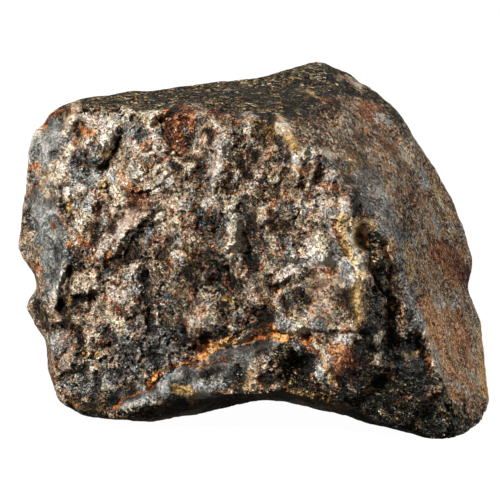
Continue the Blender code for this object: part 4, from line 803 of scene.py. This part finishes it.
def painted_front(spots):
    """The share of each kind of rock, and the lightness with its painted shade and highlights, that the
    brush strokes leave at these spots.
    """
    shares = {kind: np.zeros(len(spots)) for kind in KINDS}
    lightness_with_painted_light = np.zeros(len(spots))
    for kind, share, lighter, half_width, *line in ROCK_STROKES:
        near, weight = touched(spots, half_width, line)
        lightness_with_painted_light[near] += lighter * weight
        for layer in shares.values():
            layer[near] *= 1.0 - share * weight
        shares[kind][near] += share * weight
    for lighter, half_width, *line in SHADE_STROKES:
        near, weight = touched(spots, half_width, line)
        lightness_with_painted_light[near] += lighter * weight
    return shares, lightness_with_painted_light


def add_layer(mesh, name, values):
    layer = mesh.attributes.new(name, "FLOAT", "POINT")
    layer.data.foreach_set("value", np.clip(values, 0.0, 1.0).astype(np.float32))


def paint(skin):
    """Adds the layers that the finish reads: the kinds of rock, gloss, calm, the tone with painted shade
    and highlights, and the hollows' painted shade.
    """
    mesh = skin.data
    points, normals = points_and_normals(mesh)
    narrow = hollowness(mesh, points, normals, NARROW_PASSES)
    wide = hollowness(mesh, points, normals, WIDE_PASSES)
    facing = normals @ OUTWARD
    spots = on_sheet(bent(bent(points, 2.2, 0.5, 501), 0.9, 0.3, 521))
    seen = ease((facing + 0.05) / 0.15)
    away = 1.0 - seen
    swell = rough_waves(points, 14.0, 601)
    blotch = rough_waves(points, 7.0, 621)
    top = ease((normals[:, 2] - 0.72) / 0.2)
    hidden = {
        "crust": 0.75 * ease(0.5 + 1.2 * swell + 0.4 * top),
        "brown": ease(0.55 - 1.2 * swell),
        "rust": 0.6 * ease(1.5 * blotch - 0.2),
        "grey": ease(-2.0 * blotch - 0.5),
        "ochre": 0.5 * ease(2.0 * waves(points, 5.0, 641) - 0.6),
        "tan": 0.6 * ease(2.0 * waves(points, 6.0, 642) - 0.5),
    }
    shares, lightness_with_painted_light = painted_front(spots)
    for kind in KINDS:
        add_layer(mesh, kind, seen * shares[kind] + away * hidden.get(kind, 0.0))
    for name in ("gloss", "calm"):
        add_layer(mesh, name, seen * ground(spots, name))
    # Painted light: the strokes' lightness, with its painted shade and highlights, goes into the tone
    add_layer(mesh, "tone", 0.5 + 0.5 * (seen * lightness_with_painted_light + away * 0.15 * blotch))
    # Painted shade: how deep each point lies in a hollow, which the finish turns into darkening
    add_layer(mesh, "hollow", 0.5 + 0.8 * narrow + 0.35 * wide)


class Wire:
    """A number or colour in the finish. Python's own operators on it add Math nodes."""

    def __init__(self, finish, socket):
        self.finish, self.socket = finish, socket

    def __add__(self, other):
        return self.finish.math("ADD", self, other)

    def __sub__(self, other):
        return self.finish.math("SUBTRACT", self, other)

    def __rsub__(self, other):
        return self.finish.math("SUBTRACT", other, self)

    def __mul__(self, other):
        return self.finish.math("MULTIPLY", self, other)

    __radd__ = __add__
    __rmul__ = __mul__

    def held(self):
        """The number, kept between 0 and 1."""
        return self.finish.node("ShaderNodeClamp", {}, {"Value": self})


class Finish:
    """A material of the object, and the ways to add nodes to it."""

    def __init__(self, name):
        self.material = bpy.data.materials.new(name)
        self.material.use_nodes = True
        self.nodes = self.material.node_tree.nodes
        self.links = self.material.node_tree.links
        self.surface = self.nodes["Principled BSDF"]

    def feed(self, socket, value):
        if isinstance(value, Wire):
            self.links.new(value.socket, socket)
        else:
            socket.default_value = value

    def node(self, kind, settings, sockets, output=0):
        """Adds a node with these settings, feeds its sockets and gives one of its outputs."""
        node = self.nodes.new(kind)
        for name, value in settings.items():
            if name == "stops":
                self.set_stops(node.color_ramp, value)
            else:
                setattr(node, name, value)
        for name, value in sockets.items():
            self.feed(node.inputs[name], value)
        return Wire(self, node.outputs[output])

    def set_stops(self, ramp, stops):
        while len(ramp.elements) < len(stops):
            ramp.elements.new(0.5)
        for element, (position, colour) in zip(ramp.elements, stops):
            element.position = position
            element.color = (*colour, 1.0)

    def math(self, operation, a, b=0.0):
        return self.node("ShaderNodeMath", {"operation": operation}, {0: a, 1: b})

    def vector(self, operation, sockets, output="Vector"):
        return self.node("ShaderNodeVectorMath", {"operation": operation}, sockets, output)

    def layer(self, name):
        return self.node("ShaderNodeAttribute", {"attribute_name": name}, {}, "Fac")

    def noise(self, place, scale, detail, roughness, output="Fac"):
        sockets = {"Vector": place, "Scale": scale, "Detail": detail, "Roughness": roughness}
        return self.node("ShaderNodeTexNoise", {}, sockets, output)

    def cells(self, place, scale, output="Color", feature="F1"):
        sockets = {"Vector": place, "Scale": scale}
        return self.node("ShaderNodeTexVoronoi", {"feature": feature}, sockets, output)

    def chances(self, place, scale):
        """Three random numbers for each cell of this many to a millimetre."""
        colour = self.cells(place, scale)
        return [self.node("ShaderNodeSeparateColor", {}, {"Color": colour}, part)
                for part in ("Red", "Green", "Blue")]

    def swayed(self, place, scale, reach):
        """A place moved about by noise, so that cells laid out on it have wavering borders."""
        sway = self.noise(place, scale, 3.0, 0.6, "Color")
        return self.vector("MULTIPLY_ADD", {0: sway, 1: (reach,) * 3, 2: place})

    def drawn_out(self, place, shape, slant=0.0):
        """A place whose cells have this shape and slope down to the right."""
        sockets = {"Vector": place, "Rotation": (0.0, slant, 0.0), "Scale": shape}
        return self.node("ShaderNodeMapping", {"vector_type": "TEXTURE"}, sockets)

    def facets(self, place, scale, height):
        """The height of flat chips, each cell with a tilt of its own."""
        offset = self.vector("SUBTRACT", {0: place, 1: self.cells(place, scale, "Position")})
        tilt = self.vector("SUBTRACT", {0: self.cells(place, scale), 1: (0.5, 0.5, 0.5)})
        return self.vector("DOT_PRODUCT", {0: offset, 1: tilt}, "Value") * (height * scale)

    def ramp(self, factor, stops):
        return self.node("ShaderNodeValToRGB", {"stops": stops}, {"Fac": factor})

    def mix(self, factor, a, b):
        """Colour a, turned to colour b by the factor."""
        return self.node("ShaderNodeMix", {"data_type": "RGBA"}, {"Factor": factor, 6: a, 7: b}, 2)


# How many cells of the rock's pattern there are to a millimetre
PATCHES, CLASTS, SPECKS, GRIT, STREAKS, LONG_GRAINS = 0.30, 0.8, 2.1, 3.9, 2.0, 2.2
# Streaks in the crust: how they slope down to the right, and how long, deep and high they are
STREAK_SLANT = math.radians(20)
STREAK_SHAPE = (3.6, 1.4, 1.0)
# The grains of the worn right side, longer in depth and height
LONG_GRAIN_SHAPE = (1.0, 3.0, 1.4)
BLACK = (0.010, 0.009, 0.008, 1.0)

# Rock colours from dark to light
GREY = [(0.0, (0.005, 0.005, 0.005)), (0.25, (0.028, 0.030, 0.028)), (0.5, (0.135, 0.143, 0.134)),
        (0.75, (0.375, 0.38, 0.348)), (1.0, (0.82, 0.80, 0.75))]
WARM = [(0.0, (0.006, 0.004, 0.002)), (0.25, (0.055, 0.034, 0.015)), (0.5, (0.252, 0.163, 0.091)),
        (0.75, (0.57, 0.42, 0.27)), (1.0, (0.93, 0.82, 0.65))]
PINK = [(0.0, (0.02, 0.01, 0.007)), (0.3, (0.15, 0.088, 0.050)), (0.6, (0.51, 0.36, 0.25)),
        (1.0, (0.94, 0.84, 0.73))]
CREAM = [(0.0, (0.02, 0.013, 0.006)), (0.3, (0.15, 0.108, 0.053)), (0.6, (0.55, 0.43, 0.27)),
         (1.0, (0.95, 0.84, 0.62))]
OCHRE = [(0.0, (0.012, 0.008, 0.002)), (0.3, (0.10, 0.062, 0.018)), (0.6, (0.38, 0.22, 0.06)),
         (1.0, (0.88, 0.60, 0.26))]
RUST = [(0.0, (0.008, 0.003, 0.002)), (0.3, (0.08, 0.022, 0.009)), (0.6, (0.32, 0.10, 0.036)),
        (1.0, (0.88, 0.47, 0.22))]
BROWN = [(0.0, (0.012, 0.008, 0.005)), (0.3, (0.075, 0.040, 0.017)), (0.6, (0.28, 0.142, 0.062)),
         (1.0, (0.88, 0.56, 0.33))]
ORANGE = [(0.0, (0.03, 0.008, 0.002)), (0.3, (0.28, 0.072, 0.012)), (0.6, (0.72, 0.215, 0.04)),
          (1.0, (0.97, 0.53, 0.19))]
OLIVE = [(0.0, (0.009, 0.008, 0.005)), (0.3, (0.045, 0.038, 0.019)), (0.6, (0.22, 0.188, 0.120)),
         (1.0, (0.86, 0.78, 0.62))]
CRUST = [(0.0, (0.004, 0.0045, 0.004)), (0.3, (0.020, 0.0215, 0.016)), (0.6, (0.14, 0.118, 0.066)),
         (1.0, (0.60, 0.44, 0.20))]


def around_zero(number, amount):
    """A number from 0 to 1, moved to lie around 0 and made this much stronger."""
    return (number - 0.5) * amount


def above(number, limit, soft=0.04):
    """1 where the number is above this limit and 0 elsewhere, with a soft border."""
    return ((number - limit) * (1.0 / soft)).held()


def stone_finish():
    """Every kind of rock where its layer shows, broken up into patches, clasts, specks and grit."""
    finish = Finish("stone")
    on_stone = finish.node("ShaderNodeTexCoord", {}, {}, "Object")
    place = finish.vector("SCALE", {0: on_stone, "Scale": 1 / MM})
    bend = finish.swayed(place, 0.9, 0.5)
    wide_bend = finish.swayed(bend, 0.3, 2.0)
    drift = finish.swayed(place, 0.12, 5.0)
    side_place = finish.drawn_out(bend, LONG_GRAIN_SHAPE)
    patch_a, patch_b, patch_c = finish.chances(wide_bend, PATCHES)
    clast_a, clast_b, clast_c = finish.chances(bend, CLASTS)
    speck_a, speck_b, speck_c = finish.chances(bend, SPECKS)
    grit_a, grit_b, _ = finish.chances(place, GRIT)
    streak_place = finish.drawn_out(drift, STREAK_SHAPE, STREAK_SLANT)
    streak_a, streak_b, streak_c = finish.chances(streak_place, STREAKS)
    long_a, long_b, long_c = finish.chances(side_place, LONG_GRAINS)
    mottle = finish.noise(place, 0.25, 6.0, 0.65)
    gaps = finish.noise(place, 0.6, 5.0, 0.7)
    flecks = finish.noise(drift, 1.5, 4.0, 0.75)
    seam = finish.cells(wide_bend, PATCHES, "Distance", "DISTANCE_TO_EDGE")
    crack = finish.cells(bend, CLASTS, "Distance", "DISTANCE_TO_EDGE")

    # Painted shade: the finish darkens hollows by how deep they lie
    hollow = finish.layer("hollow")
    tone = finish.layer("tone") * 2.0 - 0.5
    crust = finish.layer("crust")
    grey = finish.layer("grey")
    brown = finish.layer("brown")
    rough = 1.0 - finish.layer("calm") * 0.7
    plain = 1.0 - grey * 0.8

    def grainy(name, by, spread=0.9):
        """Where a layer shows: the share of the grains that the layer's strength asks for."""
        return above(finish.layer(name) + around_zero(by, spread), 0.44, 0.12)

    # How light the ground is: as painted, with the strokes' painted shade and highlights, from grain to
    # grain, darker in gaps and cracks, and darker in hollows as painted shade
    gap = ((0.47 - gaps) * 7.0).held()
    outline = ((0.13 - crack) * 12.0).held() * above(1.0 - gaps, 0.50, 0.08)
    outline = outline * (1.0 - brown) * (1.0 - crust) * rough
    grit_contrast = (0.36 + brown * 0.5 + grey * 0.25) * rough
    light = (tone + 0.045 + brown * 0.13 + around_zero(patch_a, plain * 0.16)
             + around_zero(clast_a, plain * 0.24)
             + around_zero(speck_a, (0.28 + brown * 0.35) * rough) + around_zero(grit_a, grit_contrast)
             + around_zero(long_a, brown * 0.95) + around_zero(mottle, plain * 0.4)
             - gap * (0.16 - crust * 0.04) * plain * rough - outline * 0.22 - around_zero(hollow, 0.5))
    # Two random numbers that say what a patch, its clasts and their specks are made of
    few = patch_b * 0.5 + clast_b * 0.32 + speck_b * 0.18
    other = patch_c * 0.45 + clast_c * 0.32 + speck_c * 0.23

    # Grey or warm ground with stray rusty, pink and cream grains, then the other kinds of rock on it
    warmth = 0.14 + around_zero(few, 1.9) + around_zero(mottle, 0.6) - grey + finish.layer("tan") * 0.5
    colour = finish.mix((warmth * 4.0 + 0.5).held(), finish.ramp(light, GREY), finish.ramp(light, WARM))
    for by, lighter, stops in ((other, -0.05, RUST), (few, 0.05, PINK), (1.0 - other, 0.05, CREAM)):
        colour = finish.mix(above(by, 0.68) * plain, colour, finish.ramp(light + lighter, stops))
    for name, by, stops in (("tan", few, WARM), ("pink", few, PINK), ("cream", few, CREAM),
                            ("ochre", other, OCHRE)):
        colour = finish.mix(grainy(name, by), colour, finish.ramp(light, stops))

    # The worn right side
    side_share = above(few * 0.6 + long_b * 0.4, 0.47, 0.1)
    side = finish.mix(side_share, finish.ramp(light, OLIVE), finish.ramp(light, BROWN))
    side = finish.mix(above(speck_c * 0.5 + long_c * 0.5, 0.70), side, finish.ramp(light + 0.06, RUST))
    side = finish.mix(above(long_c, 0.88), side, finish.ramp(light + 0.16, ORANGE))
    colour = finish.mix(grainy("brown", few, 0.7), colour, side)
    colour = finish.mix(grainy("rust", other), colour, finish.ramp(light - 0.03, RUST))

    # The crust, with gold and pale flecks, darkened in hollows as painted shade
    flake = (tone - 0.43 + around_zero(streak_a, 1.2) + around_zero(grit_a, 1.0) + around_zero(mottle, 1.0)
             + around_zero(flecks, 1.4) - around_zero(hollow, 0.5))
    shell = finish.ramp(flake, CRUST)
    gold = above(flecks + around_zero(mottle, 0.8), 0.63)
    shell = finish.mix(gold, shell, finish.ramp(flake + 0.34, OCHRE))
    pale = above(streak_b + around_zero(mottle, 0.6), 0.90)
    shell = finish.mix(pale, shell, finish.ramp(flake + 0.45, CREAM))
    shell = finish.mix(above(streak_c, 0.92), shell, finish.ramp(flake + 0.45, OCHRE))
    colour = finish.mix(grainy("crust", few, 0.5), colour, shell)

    # Orange rust and the rust in the seams, then pale grains, partly painted glints, and black grains
    colour = finish.mix(grainy("orange", speck_c, 0.5), colour, finish.ramp(light + 0.12, ORANGE))
    veins = ((0.07 - seam) * 20.0).held() * above(mottle, 0.50, 0.08) * (1.0 - crust)
    veins = veins * above(speck_b, 0.35, 0.1) * 0.8
    rusty = finish.math("MAXIMUM", above(speck_c, 0.95) * 0.9, veins) * plain
    colour = finish.mix(rusty, colour, finish.ramp(light + 0.02, ORANGE))
    # Pale grains, which are partly painted glints
    bright = above(grit_b, 0.95) * (1.0 - crust) * (1.0 - grey * 0.6) * rough
    colour = finish.mix(bright, colour, finish.ramp(light + 0.40, PINK))
    black_grit = above(1.0 - grit_b + brown * 0.03, 0.92)
    black = finish.math("MAXIMUM", above(1.0 - speck_c, 0.94), black_grit) * rough
    finish.feed(finish.surface.inputs["Base Color"], finish.mix(black * 0.9, colour, BLACK))

    # Gloss and fine relief
    roughness = 0.46 - around_zero(speck_b, 0.45) - around_zero(grit_b, 0.2) - finish.layer("gloss") * 0.22
    finish.feed(finish.surface.inputs["Roughness"], finish.math("MAXIMUM", roughness, 0.16))
    grain = (finish.facets(bend, 0.55, 1.6) + finish.facets(bend, 1.25, 1.6)
             + finish.facets(bend, 2.6, 1.2) + finish.facets(side_place, LONG_GRAINS, 1.6) * brown
             - gap * 0.4 - outline * 0.3 - black * 0.15)
    grain_height = grain * (1.0 - grey * 0.1 + crust * 0.4 + brown * 1.1)
    finish.surface.inputs["Specular IOR Level"].default_value = 0.28
    finish.surface.inputs["Specular Tint"].default_value = (1.0, 0.96, 0.86, 1.0)
    sockets = {"Strength": 1.0, "Distance": 0.8 * MM, "Height": grain_height}
    bump = finish.node("ShaderNodeBump", {}, sockets)
    finish.feed(finish.surface.inputs["Normal"], bump)
    return finish.material


def aimed(obj, at):
    """Turns a lamp or a camera to look at this point."""
    obj.rotation_mode = "QUATERNION"
    obj.rotation_quaternion = (Vector(at) - obj.location).to_track_quat("-Z", "Y")


def lamp(name, azimuth, elevation, distance, size, power):
    """A square soft light this far from the stone. Azimuth 0 is in front, 90 at the right."""
    at = SHEET_MIDDLE * MM
    data = bpy.data.lights.new(name, "AREA")
    data.size = size
    data.energy = power
    obj = bpy.data.objects.new(name, data)
    bpy.context.scene.collection.objects.link(obj)
    a, e = math.radians(azimuth), math.radians(elevation)
    way = Vector((math.sin(a) * math.cos(e), -math.cos(a) * math.cos(e), math.sin(e)))
    obj.location = Vector(at) + way * distance
    aimed(obj, at)


def camera():
    """The camera at the photograph's place."""
    data = bpy.data.cameras.new("camera")
    data.sensor_width = 36.0
    data.lens = data.sensor_width * EYE_DISTANCE / SHEET_WIDTH
    data.shift_x, data.shift_y = CAMERA_SHIFT
    obj = bpy.data.objects.new("camera", data)
    bpy.context.scene.collection.objects.link(obj)
    obj.location = (SHEET_MIDDLE + EYE_DISTANCE * OUTWARD) * MM
    aimed(obj, SHEET_MIDDLE * MM)
    bpy.context.scene.camera = obj


def surroundings():
    """White to the camera and dim to the stone, as a stone on a lit white table in a dark room."""
    world = bpy.data.worlds.new("surroundings")
    bpy.context.scene.world = world
    world.use_nodes = True
    nodes, links = world.node_tree.nodes, world.node_tree.links
    dim = nodes["Background"]
    dim.inputs["Color"].default_value = (1, 1, 1, 1)
    dim.inputs["Strength"].default_value = 0.05
    bright = nodes.new("ShaderNodeBackground")
    bright.inputs["Strength"].default_value = 1.0
    mix = nodes.new("ShaderNodeMixShader")
    path = nodes.new("ShaderNodeLightPath")
    links.new(path.outputs["Is Camera Ray"], mix.inputs[0])
    links.new(dim.outputs[0], mix.inputs[1])
    links.new(bright.outputs[0], mix.inputs[2])
    links.new(mix.outputs[0], nodes["World Output"].inputs["Surface"])


def floor():
    """A white table, which throws no light back onto the stone."""
    bpy.ops.object.select_all(action="DESELECT")
    bpy.ops.mesh.primitive_plane_add(size=FLOOR_WIDTH)
    plane = bpy.context.object
    plane.name = "floor"
    finish = Finish("pale_floor")
    finish.surface.inputs["Base Color"].default_value = (0.04, 0.04, 0.04, 1)
    finish.surface.inputs["Roughness"].default_value = 1.0
    finish.surface.inputs["Emission Color"].default_value = (1, 1, 1, 1)
    finish.surface.inputs["Emission Strength"].default_value = 0.98
    plane.data.materials.append(finish.material)
    plane.visible_diffuse = False
    plane.visible_glossy = False


def stone():
    """The skin that is shown in the solid's place."""
    skin = fine_net()
    raise_relief(skin)
    thin_out(skin)
    paint(skin)
    skin.data.materials.clear()
    skin.data.materials.append(stone_finish())
    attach(skin, "root")
    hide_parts("meteorite")


camera()
surroundings()
floor()
for setting in LAMPS:
    lamp(*setting)
stone()
bpy.context.scene.view_settings.view_transform = "Standard"
